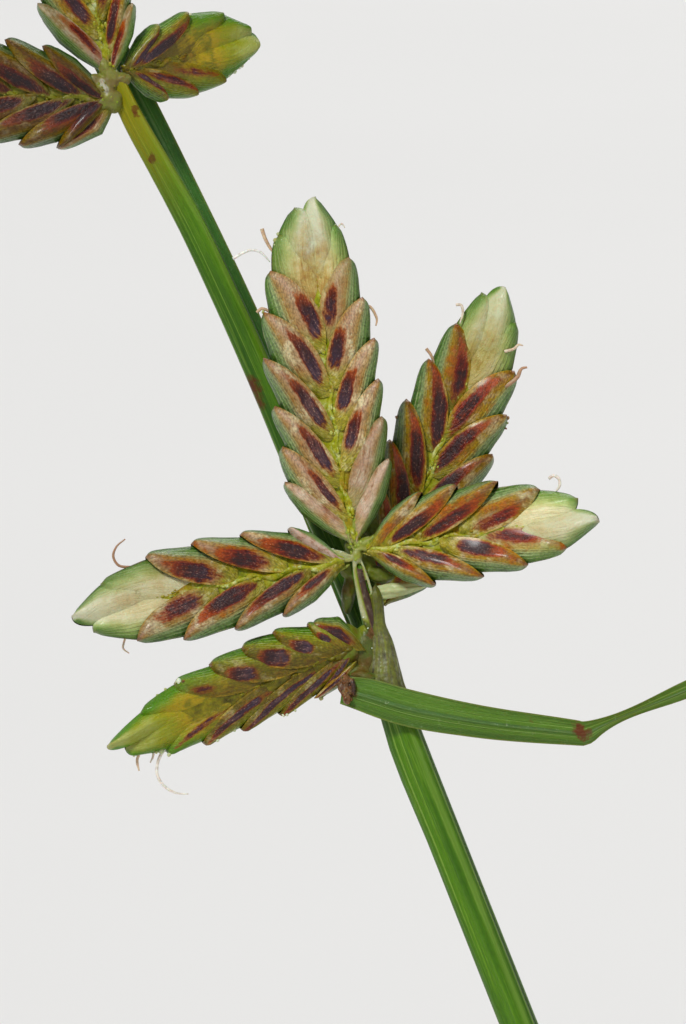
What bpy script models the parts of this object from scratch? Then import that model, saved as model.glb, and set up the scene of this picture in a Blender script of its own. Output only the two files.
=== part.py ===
"""A potted flatsedge: a plain clay pot of soil with a tuft of three-angled culms and grassy
leaves. Each culm ends in a head of flat spikelets, whose boat-shaped glumes stand in two ranks.

Metres, +Z up. The origin is the middle of the pot's base, and the tallest head faces -Y.
"""

import math

import bmesh
import bpy
import numpy as np
from mathutils import Matrix, Vector

MM = 0.001
GAP = 0.3 * MM  # clearance between pieces that touch
ROOT_GAP = 0.5 * MM  # clearance between the soil and what stands in it

# The pot, a turned shell with a collar and three drain holes.
POT_HEIGHT = 98 * MM
POT_BASE_RADIUS = 37 * MM
POT_SHOULDER_RADIUS = 50 * MM  # under the collar
COLLAR_RADIUS = 56 * MM
COLLAR_HEIGHT = 22 * MM
POT_WALL = 5 * MM
POT_FLOOR = 6 * MM
POT_FILLET = 2.5 * MM  # inside, between floor and wall
INNER_LEDGE = POT_HEIGHT - COLLAR_HEIGHT + 2 * MM  # where the inner wall turns steeper
INNER_TOP_RADIUS = COLLAR_RADIUS - POT_WALL - 1.5 * MM
RIM_ROUND = 1.6 * MM
POT_STEPS = 32
DRAIN_HOLES = 3
DRAIN_RADIUS = 4 * MM
DRAIN_CIRCLE = 18 * MM
DRAIN_SIDES = 10

# The soil, domed towards the crown of the plant.
SOIL_EDGE_HEIGHT = 82 * MM
SOIL_DOME = 4 * MM
SOIL_LUMP = 0.7 * MM
CROWN_RADIUS = 15 * MM  # the soil stays smooth inside it, where the plant stands
LUMPY_BEYOND = 8 * MM  # past the crown's edge, where the lumps reach their full height
SOIL_SIDES = 24
SOIL_RINGS = 4

# The culms: number, azimuth, crown radius, lean at the base and at the top, length, in degrees
# and mm.
CULMS = (
    (1, 16, 6.0, 4, 21, 178),
    (2, 62, 6.0, 2, 12, 186),
    (3, 112, 6.0, 3, 19, 146),
    (4, 160, 6.0, 5, 27, 118),
    (5, 246, 6.0, 5, 27, 98),
    (6, 288, 6.0, 4, 22, 138),
    (7, 332, 6.0, 4, 17, 160),
)
CULM_RADIUS = 0.72 * MM
CULM_TAPER = 0.62  # the radius at the top, as a share of that at the base
CULM_POINTS = 7

# The basal leaves: azimuth, lean at the base and at the tip, length, width, in degrees and mm.
LEAVES = (
    (4, 12, 88, 150, 2.6),
    (31, 9, 62, 168, 2.4),
    (52, 15, 105, 128, 2.8),
    (82, 10, 74, 160, 2.5),
    (101, 14, 98, 138, 2.7),
    (130, 11, 84, 144, 2.3),
    (148, 17, 112, 120, 2.8),
    (178, 12, 92, 142, 2.5),
    (204, 16, 104, 118, 2.6),
    (229, 13, 86, 128, 2.4),
    (262, 18, 110, 124, 2.8),
    (276, 9, 66, 112, 2.2),
    (304, 13, 96, 146, 2.6),
    (347, 16, 106, 132, 2.7),
)
LEAF_CROWN_RADIUS = 10.5 * MM
LEAF_THICKNESS = 0.42 * MM
LEAF_FOLD = 0.34  # how deep the fold along the midrib is, as a share of the width
LEAF_RINGS = 8
DRIFT = 9  # degrees that a leaf or culm turns round the plant from base to tip

# The tallest head. Its frame has x to the right, y up and z towards the viewer, who looks at it
# from HEAD_ELEVATION degrees above the horizon. Its points are millimetres in that frame.
HEAD = Vector((-48, -28, 315)) * MM
HEAD_ELEVATION = 10
HEAD_FRAME = Matrix.Translation(HEAD) @ Matrix.Rotation(math.radians(90 - HEAD_ELEVATION), 4, "X")
MAIN_CULM_FOOT = Vector((0.5, -0.5)) * MM
MAIN_CULM_BEND = (Vector((0.4, -1.2, 133)) * MM, Vector((-14.5, -9.5, 218)) * MM)
MAIN_CULM_TOP = ((4.73, -13.46, -0.2), (2.74, -8.43, 0.0), (1.31, -4.77, 0.0))
STALK = ((0.72, -2.75, 0.0), (0.35, -1.4, 0.0), (0.02, -0.1, 0.0))
MAIN_CULM_RADII = (0.82, 0.74, 0.64, 0.56, 0.55, 0.54, 0.40, 0.24, 0.17)
RAY = (
    (0.62, -2.75, -1.05), (-0.35, -0.3, -1.45), (-1.65, 2.69, -1.6), (-2.35, 4.4, -1.5),
    (-3.74, 7.53, -1.15), (-4.88, 9.89, -0.75), (-5.52, 11.03, -0.5), (-6.40, 12.5, -0.25),
)
RAY_RADII = (0.46, 0.47, 0.47, 0.46, 0.44, 0.42, 0.40, 0.34)
BRACT_FRONT = (
    (-0.30, -3.95, 1.02), (1.3, -4.35, 1.30), (3.3, -4.75, 1.18), (6.35, -5.12, 0.9),
    (6.75, -5.06, 0.9), (9.6, -3.85, 0.9), (15, -1.2, 1.1), (24, 2.6, 1.2), (36, 4.6, 0.2),
    (48, 2.8, -2),
)
BRACT_FRONT_WIDTHS = (1.05, 1.08, 0.98, 0.72, 0.62, 0.62, 0.66, 0.7, 0.52, 0.10)
BRACT_BACK = (
    (0.55, -3.3, -1.95), (-0.95, 1.0, -2.45), (-2.65, 5.4, -2.6), (-5.38, 11.1, -2.5),
    (-6.4, 13.1, -2.5), (-8.7, 17.5, -3.2), (-14.5, 26, -5), (-23, 35, -9), (-34, 40, -14),
)
BRACT_BACK_WIDTHS = (0.9, 0.98, 1.0, 1.1, 1.15, 1.15, 1.1, 0.85, 0.12)
BRACT_THICKNESS = 0.24 * MM

# The spikelets of the tallest head, in its frame: foot, angle in its plane from x, tilt towards
# the viewer, roll about the spikelet's own axis, length, width, bend and glumes on each side.
SPIKELETS = (
    ("spikelet_tall", (-0.04, 0.40, 0.10), 101, 2, 0, 9.75, 3.4, -8, 7),
    ("spikelet_upper_right", (0.82, -1.40, -1.35), 71, -3, 4, 9.8, 2.95, -4, 7),
    ("spikelet_right", (0.46, 0.08, 0.35), 9.5, 12, -6, 6.5, 2.75, -3, 5),
    ("spikelet_left", (-0.42, -0.28, 0.25), 190, 8, 8, 7.8, 2.8, 3, 6),
    ("spikelet_low_left", (-0.12, -2.72, 0.30), 200, 6, -28, 7.5, 3.1, 4, 6),
    ("spikelet_back", (-1.20, -0.45, -1.20), 189, -35, 80, 6.4, 2.5, 0, 3),
    ("upper_spikelet_right", (-6.55, 13.80, -0.15), 16, -32, 8, 4.4, 2.55, 0, 3),
    ("upper_spikelet_top", (-6.98, 13.80, -0.10), 104, 4, 0, 7.6, 3.0, -3, 5),
    ("upper_spikelet_left", (-7.15, 12.95, -0.05), 177, 6, -4, 7.2, 3.05, -2, 5),
)
SPIKELET_THICKNESS = 0.92 * MM
GLUME_STEP = 0.30 * MM  # how far a glume's tip stands out over the next one
GLUME_LEDGE = 0.09 * MM  # how far it stands out from the flat side
GLUME_NOTCH = 0.1 * MM  # how sharply the edge steps back past a tip
CHEVRON = 1.15 * MM  # how much nearer the foot a glume's inner edge is than its tip
FIRST_TIP = 0.24  # where the lowest and the highest tips are, as shares of the length
LAST_TIP = 0.97

# The other heads: spikelets spread round the top of the culm, and two bracts under them.
HEAD_SPIKELETS = 5
HEAD_CORE_RADIUS = 1.0 * MM
HEAD_SPIKELET_LENGTH = 7.6 * MM
HEAD_SPIKELET_WIDTH = 2.7 * MM
HEAD_SPIKELET_LEANS = (12, 62)  # the innermost and the outermost, from the culm's direction
# Each bract: name, length, width, lean at the base and at the tip, in mm and degrees.
HEAD_BRACTS = (("long", 62, 1.5, 76, 112), ("short", 34, 1.3, 70, 96))
HEAD_BRACT_TURNS = (40, 215)  # from the culm's azimuth
HEAD_BRACT_DROP = 1.6 * MM  # how far below the culm's top they grow
HEAD_BRACT_RINGS = 5

GOLDEN_TURN = math.radians(137.5)

# Colour, roughness and metallic value.
FINISHES = {
    "clay": ((0.60, 0.30, 0.18), 0.85),
    "soil": ((0.075, 0.050, 0.034), 0.95),
    "culm_green": ((0.13, 0.27, 0.045), 0.45),
    "leaf_green": ((0.12, 0.25, 0.05), 0.48),
    "spikelet": ((0.33, 0.23, 0.10), 0.50),
}


def clear_scene():
    """Removes what the scene holds, such as the startup objects."""
    for obj in list(bpy.data.objects):
        bpy.data.objects.remove(obj, do_unlink=True)


def collection(name):
    made = bpy.data.collections.new(name)
    bpy.context.scene.collection.children.link(made)
    return made


def finish(name):
    """The Principled material of that name."""
    made = bpy.data.materials.get(name)
    if made:
        return made
    colour, roughness = FINISHES[name]
    made = bpy.data.materials.new(name)
    made.use_nodes = True
    shader = made.node_tree.nodes["Principled BSDF"]
    shader.inputs["Base Color"].default_value = (*colour, 1)
    shader.inputs["Roughness"].default_value = roughness
    shader.inputs["Metallic"].default_value = 0
    made.diffuse_color = (*colour, 1)
    return made


def add(name, data, where, material):
    """Links a new object and gives it its one material."""
    obj = bpy.data.objects.new(name, data)
    where.objects.link(obj)
    data.materials.append(finish(material))
    return obj


def as_helper(obj):
    """Marks a cutter or a guide, which isn't a piece of the object."""
    obj.hide_render = True
    obj.display_type = "WIRE"
    return obj


def smooth(obj, degrees=40):
    obj.data.shade_smooth()
    obj.data.set_sharp_from_angle(angle=math.radians(degrees))


def mesh_from(bm, name):
    """A new mesh that takes the bmesh's content."""
    mesh = bpy.data.meshes.new(name)
    bm.to_mesh(mesh)
    bm.free()
    return mesh


def apply_modifiers(obj):
    """Replaces the object's mesh with its evaluated one."""
    graph = bpy.context.evaluated_depsgraph_get()
    mesh = bpy.data.meshes.new_from_object(obj.evaluated_get(graph))
    obj.modifiers.clear()
    obj.data = mesh


# Lines and frames

def smooth_line(points, count):
    """count points on a Catmull-Rom curve through the given ones, evenly spaced along it."""
    given = np.array([tuple(p) for p in points], float)
    ends = np.vstack([2 * given[0] - given[1], given, 2 * given[-1] - given[-2]])
    fine = []
    for a, b, c, d in zip(ends, ends[1:], ends[2:], ends[3:]):
        for t in np.linspace(0, 1, 24, endpoint=False):
            fine.append(
                0.5 * (2 * b + (c - a) * t + (2 * a - 5 * b + 4 * c - d) * t * t
                       + (3 * b - a - 3 * c + d) * t ** 3)
            )
    fine = np.array([*fine, given[-1]])
    steps = np.linalg.norm(np.diff(fine, axis=0), axis=1)
    along = np.concatenate([[0], np.cumsum(steps)])
    at = np.linspace(0, along[-1], count)
    return np.stack([np.interp(at, along, fine[:, k]) for k in range(3)], axis=1)


def arch(foot, azimuth, lean_foot, lean_tip, length, count, power=1.3):
    """Points of a stem or blade that leans outwards more and more towards its tip. Degrees."""
    point, points = Vector(foot), [Vector(foot)]
    step = length / (count - 1)
    for i in range(count - 1):
        share = (i + 0.5) / (count - 1)
        lean = math.radians(lean_foot + (lean_tip - lean_foot) * share ** power)
        turn = math.radians(azimuth + DRIFT * share)
        ahead = Vector((math.sin(lean) * math.cos(turn), math.sin(lean) * math.sin(turn),
                        math.cos(lean)))
        point = point + ahead * step
        points.append(point)
    return points


def frames(points, across):
    """(point, ahead, side, up) at each point, with side kept near the direction across."""
    points = [Vector(p) for p in points]
    found = []
    for i, point in enumerate(points):
        ahead = (points[min(i + 1, len(points) - 1)] - points[max(i - 1, 0)]).normalized()
        side = (across - across.dot(ahead) * ahead).normalized()
        found.append((point, ahead, side, ahead.cross(side)))
    return found


def head_point(x, y, z):
    """A point of the tallest head's frame, in millimetres, in the scene's metres."""
    return HEAD_FRAME @ (Vector((x, y, z)) * MM)


# Solids

def loft(name, rings, where, material):
    """A closed solid through rings of equally many points, capped at both ends."""
    bm = bmesh.new()
    loops = [[bm.verts.new(point) for point in ring] for ring in rings]
    for low, high in zip(loops, loops[1:]):
        for i in range(len(low)):
            j = (i + 1) % len(low)
            bm.faces.new((low[i], low[j], high[j], high[i]))
    bm.faces.new(list(reversed(loops[0])))
    bm.faces.new(loops[-1])
    bmesh.ops.triangulate(bm, faces=bm.faces)
    bmesh.ops.recalc_face_normals(bm, faces=bm.faces)
    obj = add(name, mesh_from(bm, name), where, material)
    smooth(obj)
    return obj


def turned(name, profile, steps, where, material):
    """A solid of revolution about the z axis, from (radius, height) pairs that run down its
    outer side."""
    mesh = bpy.data.meshes.new(name)
    points = [(radius, 0, height) for radius, height in profile]
    mesh.from_pydata(points, [(i, i + 1) for i in range(len(points) - 1)], [])
    obj = add(name, mesh, where, material)
    turn = obj.modifiers.new("turn", "SCREW")
    turn.steps = turn.render_steps = steps
    turn.use_merge_vertices = True
    turn.merge_threshold = 0.0001
    turn.use_smooth_shade = True
    return obj


def blade(name, points, widths, thickness, across, where):
    """A leaf or bract: a folded strip that opens upwards, with the midrib as its keel."""
    rings = []
    for (point, _, side, up), width in zip(frames(points, across), widths):
        half, fold = width / 2, width * LEAF_FOLD / 2
        low = ((-half, fold), (0, 0), (half, fold))
        high = ((half, fold + thickness), (0, thickness), (-half, fold + thickness))
        rings.append([point + side * s + up * n for s, n in (*low, *high)])
    return loft(name, rings, where, "leaf_green")


def three_angled_profile(helpers):
    """The culms' cross-section, a triangle with its corners cut, of radius 1."""
    corner, cut = 2 * math.pi / 3, 0.22
    curve = bpy.data.curves.new("culm_profile", "CURVE")
    curve.dimensions = "2D"
    spline = curve.splines.new("POLY")
    spline.points.add(5)
    for i, point in enumerate(spline.points):
        angle = corner * (i // 2) + (cut if i % 2 else -cut)
        point.co = (math.cos(angle), -math.sin(angle), 0, 1)
    spline.use_cyclic_u = True
    obj = bpy.data.objects.new("culm_profile", curve)
    helpers.objects.link(obj)
    return as_helper(obj)


def stem(name, points, radii, profile, where):
    """A three-angled stem that follows the points, with a radius at each."""
    curve = bpy.data.curves.new(name, "CURVE")
    curve.dimensions = "3D"
    curve.bevel_mode = "OBJECT"
    curve.bevel_object = profile
    curve.use_fill_caps = True
    spline = curve.splines.new("POLY")
    spline.points.add(len(points) - 1)
    for target, point, radius in zip(spline.points, points, radii):
        target.co = (*point, 1)
        target.radius = radius
    return add(name, curve, where, "culm_green")


# The pot and its soil

def quarter(centre, radius, start, count=3):
    """Points on a quarter circle in the profile's plane, clockwise from start degrees."""
    angles = np.radians(np.linspace(start, start - 90, count))
    return [(centre[0] + radius * math.cos(a), centre[1] + radius * math.sin(a)) for a in angles]


def pot_profile():
    """Radius and height from the middle of the floor, up the inside and down the outside."""
    inner_foot = POT_BASE_RADIUS - POT_WALL
    under = POT_HEIGHT - COLLAR_HEIGHT
    shoulder = POT_HEIGHT - RIM_ROUND
    foot_round = 1.2 * MM
    return [
        (0, POT_FLOOR),
        (inner_foot - 2 * MM, POT_FLOOR),
        (inner_foot + 0.6 * MM, POT_FLOOR + POT_FILLET),
        (POT_SHOULDER_RADIUS - POT_WALL, INNER_LEDGE),
        *quarter((INNER_TOP_RADIUS + RIM_ROUND, shoulder), RIM_ROUND, 180),
        *quarter((COLLAR_RADIUS - RIM_ROUND, shoulder), RIM_ROUND, 90),
        (COLLAR_RADIUS - 0.8 * MM, under + 1 * MM),
        (COLLAR_RADIUS - 2.0 * MM, under),
        (POT_SHOULDER_RADIUS, under - 0.8 * MM),
        (POT_BASE_RADIUS + 0.4 * MM, foot_round),
        (POT_BASE_RADIUS - foot_round, 0),
        (0, 0),
    ]


def drain_cutter(name, angle, helpers):
    """The upright cylinder that one drain hole is cut with."""
    bm = bmesh.new()
    bmesh.ops.create_cone(
        bm, cap_ends=True, segments=DRAIN_SIDES, radius1=DRAIN_RADIUS, radius2=DRAIN_RADIUS,
        depth=4 * POT_FLOOR,
    )
    obj = as_helper(add(name, mesh_from(bm, name), helpers, "clay"))
    obj.location = (DRAIN_CIRCLE * math.cos(angle), DRAIN_CIRCLE * math.sin(angle), 0)
    return obj


def pot(where, helpers):
    """The turned clay pot with its drain holes."""
    obj = turned("pot", pot_profile(), POT_STEPS, where, "clay")
    for i in range(DRAIN_HOLES):
        angle = 2 * math.pi * (i + 0.5) / DRAIN_HOLES
        hole = obj.modifiers.new(f"drain_{i + 1}", "BOOLEAN")
        hole.operation = "DIFFERENCE"
        hole.object = drain_cutter(f"drain_cutter_{i + 1}", angle, helpers)
    apply_modifiers(obj)
    smooth(obj, 35)


def inner_radius(height):
    """The radius of the pot's inner wall at a height."""
    heights = (POT_FLOOR + POT_FILLET, INNER_LEDGE, POT_HEIGHT - RIM_ROUND)
    foot = POT_BASE_RADIUS - POT_WALL + 0.6 * MM
    return float(np.interp(height, heights, (foot, POT_SHOULDER_RADIUS - POT_WALL, INNER_TOP_RADIUS)))


def soil_dome(out):
    """The height of the soil at a distance from the axis, without its lumps."""
    return SOIL_EDGE_HEIGHT + SOIL_DOME * max(0.0, 1 - (out / inner_radius(SOIL_EDGE_HEIGHT)) ** 2)


def soil_height(x, y):
    """The height of the soil's surface, lumps included."""
    out = math.hypot(x, y)
    loose = min(1.0, max(0.0, (out - CROWN_RADIUS) / LUMPY_BEYOND))
    lump = math.sin(x / (3.1 * MM) + 1.3) * math.cos(y / (2.7 * MM) - 0.4)
    return soil_dome(out) + SOIL_LUMP * loose * lump


def soil(where):
    """The soil, a plug that fills the pot, with a domed and lumpy top."""
    flat = math.cos(math.pi / POT_STEPS)  # the pot's faceted wall is this much nearer at mid-face
    wall = [
        (inner_radius(height) * flat - 2 * GAP, height)
        for height in (SOIL_EDGE_HEIGHT, INNER_LEDGE, POT_FLOOR + POT_FILLET + GAP)
    ]
    shares = np.linspace(0, 1, SOIL_RINGS, endpoint=False)
    top = [(share * wall[0][0], soil_dome(share * wall[0][0])) for share in shares]
    floor = POT_FLOOR + GAP
    profile = [*top, *wall, (wall[-1][0] - POT_FILLET - GAP, floor), (0, floor)]
    obj = turned("soil", profile, SOIL_SIDES, where, "soil")
    apply_modifiers(obj)
    for vertex in obj.data.vertices:
        if vertex.co.z > SOIL_EDGE_HEIGHT - GAP:
            vertex.co.z = soil_height(vertex.co.x, vertex.co.y)
    smooth(obj, 50)


# Leaves and culms

def foot_on_soil(azimuth, radius):
    """Where a stem or leaf leaves the crown, just clear of the soil."""
    x, y = radius * math.cos(math.radians(azimuth)), radius * math.sin(math.radians(azimuth))
    return Vector((x, y, soil_height(x, y) + ROOT_GAP))


def tangent(azimuth):
    """The level direction across a leaf that leans towards the azimuth."""
    angle = math.radians(azimuth)
    return Vector((-math.sin(angle), math.cos(angle), 0))


def leaf_widths(width, count):
    """A leaf's widths: full from its sheath to the middle, then narrowing to a long point."""
    shares = np.linspace(0, 1, count)
    narrowing = 1 - 1.95 * np.maximum(0, shares - 0.35) ** 1.6
    return width * np.minimum(1, 0.8 + shares) * np.maximum(0.06, narrowing)


def leaves(where):
    for i, (azimuth, lean_foot, lean_tip, length, width) in enumerate(LEAVES, 1):
        foot = foot_on_soil(azimuth, LEAF_CROWN_RADIUS)
        points = arch(foot, azimuth, lean_foot, lean_tip, length * MM, LEAF_RINGS)
        across = -tangent(azimuth + DRIFT / 2)
        widths = leaf_widths(width * MM, LEAF_RINGS)
        blade(f"leaf_{i}", points, widths, LEAF_THICKNESS, across, where)


def head_spikelets(number):
    """(turn about the culm, angle from it, length) of each spikelet of one of the other heads."""
    for k in range(HEAD_SPIKELETS):
        inner, outer = HEAD_SPIKELET_LEANS
        lean = inner + (outer - inner) * (k / (HEAD_SPIKELETS - 1)) ** 0.7
        length = HEAD_SPIKELET_LENGTH * (1 - 0.07 * ((k * 3 + number) % 4))
        yield GOLDEN_TURN * k + number, math.radians(lean), length


def head(number, top, ahead, where, helpers):
    """One of the other heads, its spikelets joined to the core that they grow from."""
    basis = (
        Matrix.Translation(top + ahead * (HEAD_CORE_RADIUS + GAP))
        @ ahead.to_track_quat("Z", "Y").to_matrix().to_4x4()
    )
    bm = bmesh.new()
    bmesh.ops.create_icosphere(bm, subdivisions=1, radius=HEAD_CORE_RADIUS)
    obj = add(f"head_{number}", mesh_from(bm, f"head_{number}"), where, "spikelet")
    obj.matrix_world = basis
    for k, (turn, lean, length) in enumerate(head_spikelets(number), 1):
        place = (
            basis @ Matrix.Rotation(turn, 4, "Z") @ Matrix.Rotation(-lean, 4, "X")
            @ Matrix.Rotation(math.radians(90), 4, "X")
            @ Matrix.Translation((0.02 * MM * k, 0.3 * MM, 0.01 * MM * k))
        )
        rings = [
            [place @ point for point in ring]
            for ring in plain_spikelet_rings(length, HEAD_SPIKELET_WIDTH)
        ]
        part = as_helper(loft(f"head_{number}_spikelet_{k}", rings, helpers, "spikelet"))
        join = obj.modifiers.new(part.name, "BOOLEAN")
        join.operation = "UNION"
        join.object = part
    apply_modifiers(obj)
    smooth(obj, 30)


def head_bracts(number, top, ahead, azimuth, where):
    """The leafy bracts under one of the other heads."""
    rows = zip(HEAD_BRACTS, HEAD_BRACT_TURNS)
    for (name, length, width, lean, lean_tip), turn in rows:
        turn += azimuth + 15 * (number % 3)
        outwards = Vector((math.cos(math.radians(turn)), math.sin(math.radians(turn)), 0))
        outwards = (outwards - outwards.dot(ahead) * ahead).normalized()
        clear = CULM_RADIUS * CULM_TAPER + GAP + BRACT_THICKNESS / 2
        foot = top - ahead * HEAD_BRACT_DROP + outwards * clear
        points = arch(foot, turn, lean, lean_tip, length * MM, HEAD_BRACT_RINGS, 1.0)
        across = -tangent(turn + DRIFT / 2)
        widths = leaf_widths(width * MM, HEAD_BRACT_RINGS)
        blade(f"bract_{number}_{name}", points, widths, BRACT_THICKNESS, across, where)


def culms(profile, where, helpers):
    """The other culms, each with its head and bracts."""
    for number, azimuth, crown, lean_foot, lean_top, length in CULMS:
        foot = foot_on_soil(azimuth, crown * MM)
        points = arch(foot, azimuth, lean_foot, lean_top, length * MM, CULM_POINTS)
        radii = np.linspace(CULM_RADIUS, CULM_RADIUS * CULM_TAPER, CULM_POINTS)
        stem(f"culm_{number}", points, radii, profile, where)
        ahead = (points[-1] - points[-2]).normalized()
        head(number, points[-1], ahead, where, helpers)
        head_bracts(number, points[-1], ahead, azimuth, where)


# The tallest head

def main_stems(profile, where):
    """The tallest culm, up to the foot of its spikelets, and the ray behind them."""
    x, y = MAIN_CULM_FOOT
    foot = Vector((x, y, soil_height(x, y) + ROOT_GAP))
    given = [foot, *MAIN_CULM_BEND, *(head_point(*p) for p in (*MAIN_CULM_TOP, *STALK))]
    heights = [point.z for point in given]
    lower = smooth_line(given[:5], 12)
    points = [Vector(p) for p in lower] + given[5:]
    radii = np.interp([point.z for point in points], heights, np.array(MAIN_CULM_RADII) * MM)
    stem("culm_main", points, radii, profile, where)
    given = [head_point(*p) for p in RAY]
    stem("ray_main", given, [radius * MM for radius in RAY_RADII], profile, where)


def main_bracts(where):
    """The kinked bract in front of the culm, and the one that stands up behind the ray."""
    viewer = (HEAD_FRAME.to_3x3() @ Vector((0, 0, 1))).normalized()
    upwards = (HEAD_FRAME.to_3x3() @ Vector((0, 1, 0))).normalized()
    rightwards = upwards.cross(viewer)
    rows = (
        ("bract_front", BRACT_FRONT, BRACT_FRONT_WIDTHS, -upwards),
        ("bract_back", BRACT_BACK, BRACT_BACK_WIDTHS, rightwards),
    )
    for name, points, widths, across in rows:
        line = [head_point(*p) for p in points]
        blade(name, line, np.array(widths) * MM, BRACT_THICKNESS, across, where)


def envelope(share):
    """A spikelet's half-width along its length, as a share of the widest."""
    return float(np.interp(share, (0, 0.10, 0.22, 0.62, 0.8, 0.92, 1),
                           (0.12, 0.62, 1, 1, 0.84, 0.50, 0.06)))


def toothed(y, tips, length, half_width):
    """The half-width of one edge at y: it widens to each glume's tip and steps back after it."""
    full = half_width * envelope(y / length)
    reached = [tip for tip in tips if tip < y]
    to_come = [tip for tip in tips if tip >= y]
    if not reached or not to_come:
        return full
    risen = (y - reached[-1]) / (to_come[0] - reached[-1])
    return max(full - GLUME_STEP * (1 - risen) ** 1.5, 0.3 * full)


def plain_spikelet_rings(length, width):
    """Four-sided rings of a flat spikelet along +y with even edges, in metres."""
    rings = []
    for share, wide in ((0, 0.14), (0.12, 0.3), (0.34, 1), (0.62, 1), (0.86, 0.6), (1, 0.06)):
        edge = width / 2 * wide
        half = SPIKELET_THICKNESS / 2 * min(1.0, 0.3 + wide)
        flat = ((edge, 0), (0, half), (-edge, 0), (0, -half))
        rings.append([Vector((x, share * length, z)) for x, z in flat])
    return rings


def spikelet_rings(length, width, pairs, bend):
    """Rings of a flat spikelet along +y, in metres: its edges step at the tips of its glumes,
    and the left and right ranks take turns."""
    pitch = (LAST_TIP - FIRST_TIP) * length / pairs
    right = [FIRST_TIP * length + pitch * k for k in range(pairs)]
    left = [tip - pitch / 2 for tip in right]
    tips = sorted(left + right)
    stations = sorted([0.0, 0.1 * length, *tips, *(tip + GLUME_NOTCH for tip in tips), length])
    inner, middle = 0.55, 0.8  # the flat sides' ridge, and how much lower the rachilla is
    rings = []
    for y in stations:
        edge_r = toothed(y, right, length, width / 2)
        edge_l = toothed(y, left, length, width / 2)
        half = SPIKELET_THICKNESS / 2 * min(1.0, 0.3 + envelope(y / length))
        half -= 0 if y in tips else GLUME_LEDGE
        section = (
            (edge_r, 0), (inner * edge_r, half), (0, middle * half), (-inner * edge_l, half),
            (-edge_l, 0), (-inner * edge_l, -half), (0, -middle * half), (inner * edge_r, -half),
        )
        skew = min(CHEVRON, 0.45 * y, 0.7 * (length - y))
        rings.append([
            bent(x, y - skew * max(0.0, 1 - abs(x) / (width / 2)), z, math.radians(bend) / length)
            for x, z in section
        ])
    return rings


def bent(x, y, z, curve):
    """A point of a straight spikelet after its axis is curved in its own plane, by curve radians
    a metre."""
    if abs(curve) < 1e-6:
        return Vector((x, y, z))
    angle = curve * y
    side = Vector((math.cos(angle), math.sin(angle), 0))
    axis = Vector(((math.cos(angle) - 1) / curve, math.sin(angle) / curve, 0))
    return axis + side * x + Vector((0, 0, z))


def spikelets(where):
    """The tallest head's spikelets, each placed by its foot, angle, tilt and roll."""
    for name, foot, angle, tilt, roll, length, width, bend, pairs in SPIKELETS:
        place = (
            HEAD_FRAME @ Matrix.Translation(Vector(foot) * MM)
            @ Matrix.Rotation(math.radians(angle - 90), 4, "Z")
            @ Matrix.Rotation(math.radians(tilt), 4, "X")
            @ Matrix.Rotation(math.radians(roll), 4, "Y")
        )
        rings = spikelet_rings(length * MM, width * MM, pairs, bend)
        loft(name, [[place @ p for p in ring] for ring in rings], where, "spikelet")


def main():
    clear_scene()
    pieces, helpers = collection("potted_flatsedge"), collection("helpers")
    helpers.hide_render = True
    profile = three_angled_profile(helpers)
    pot(pieces, helpers)
    soil(pieces)
    leaves(pieces)
    culms(profile, pieces, helpers)
    main_stems(profile, pieces)
    main_bracts(pieces)
    spikelets(pieces)


main()
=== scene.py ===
"""The looks of a potted flatsedge: every glume, rib, thread and grain of soil as mesh, with
procedural materials. The camera frames the tallest head as a close-up."""

import math

import bmesh
import bpy
import numpy as np
from mathutils import Matrix, Vector
from mathutils.bvhtree import BVHTree


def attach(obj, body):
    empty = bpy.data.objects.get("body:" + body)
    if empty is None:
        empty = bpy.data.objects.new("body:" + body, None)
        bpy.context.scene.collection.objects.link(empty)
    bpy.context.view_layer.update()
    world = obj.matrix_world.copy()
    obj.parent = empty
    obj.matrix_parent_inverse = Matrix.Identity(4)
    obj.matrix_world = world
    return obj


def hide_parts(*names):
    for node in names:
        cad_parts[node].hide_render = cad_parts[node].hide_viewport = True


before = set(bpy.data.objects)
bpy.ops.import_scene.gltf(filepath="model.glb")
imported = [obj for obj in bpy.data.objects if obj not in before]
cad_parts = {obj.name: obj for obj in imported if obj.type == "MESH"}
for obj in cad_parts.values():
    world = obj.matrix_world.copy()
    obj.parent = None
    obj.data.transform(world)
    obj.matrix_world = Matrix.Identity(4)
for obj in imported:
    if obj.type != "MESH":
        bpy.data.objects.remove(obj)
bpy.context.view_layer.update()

MM = 0.001
rng = np.random.default_rng(7)

# The tallest head. Its frame has x to the right, y up and z towards the viewer, who looks at it
# from HEAD_ELEVATION degrees above the horizon. Its points are millimetres in that frame.
HEAD = Vector((-48, -28, 315)) * MM
HEAD_ELEVATION = 10
HEAD_FRAME = Matrix.Translation(HEAD) @ Matrix.Rotation(math.radians(90 - HEAD_ELEVATION), 4, "X")

# The photograph's frame: its height in pixels, its scale, the pixel where the head's frame
# begins, and its middle in the head's frame. The camera's lens and sensor are in mm.
FRAME_HEIGHT = 1024
PIXELS_A_MM = 35
HEAD_PIXEL = (355, 553)
FRAME_MIDDLE = (-0.34, 1.17, 0)
LENS, SENSOR = 200, 36

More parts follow.
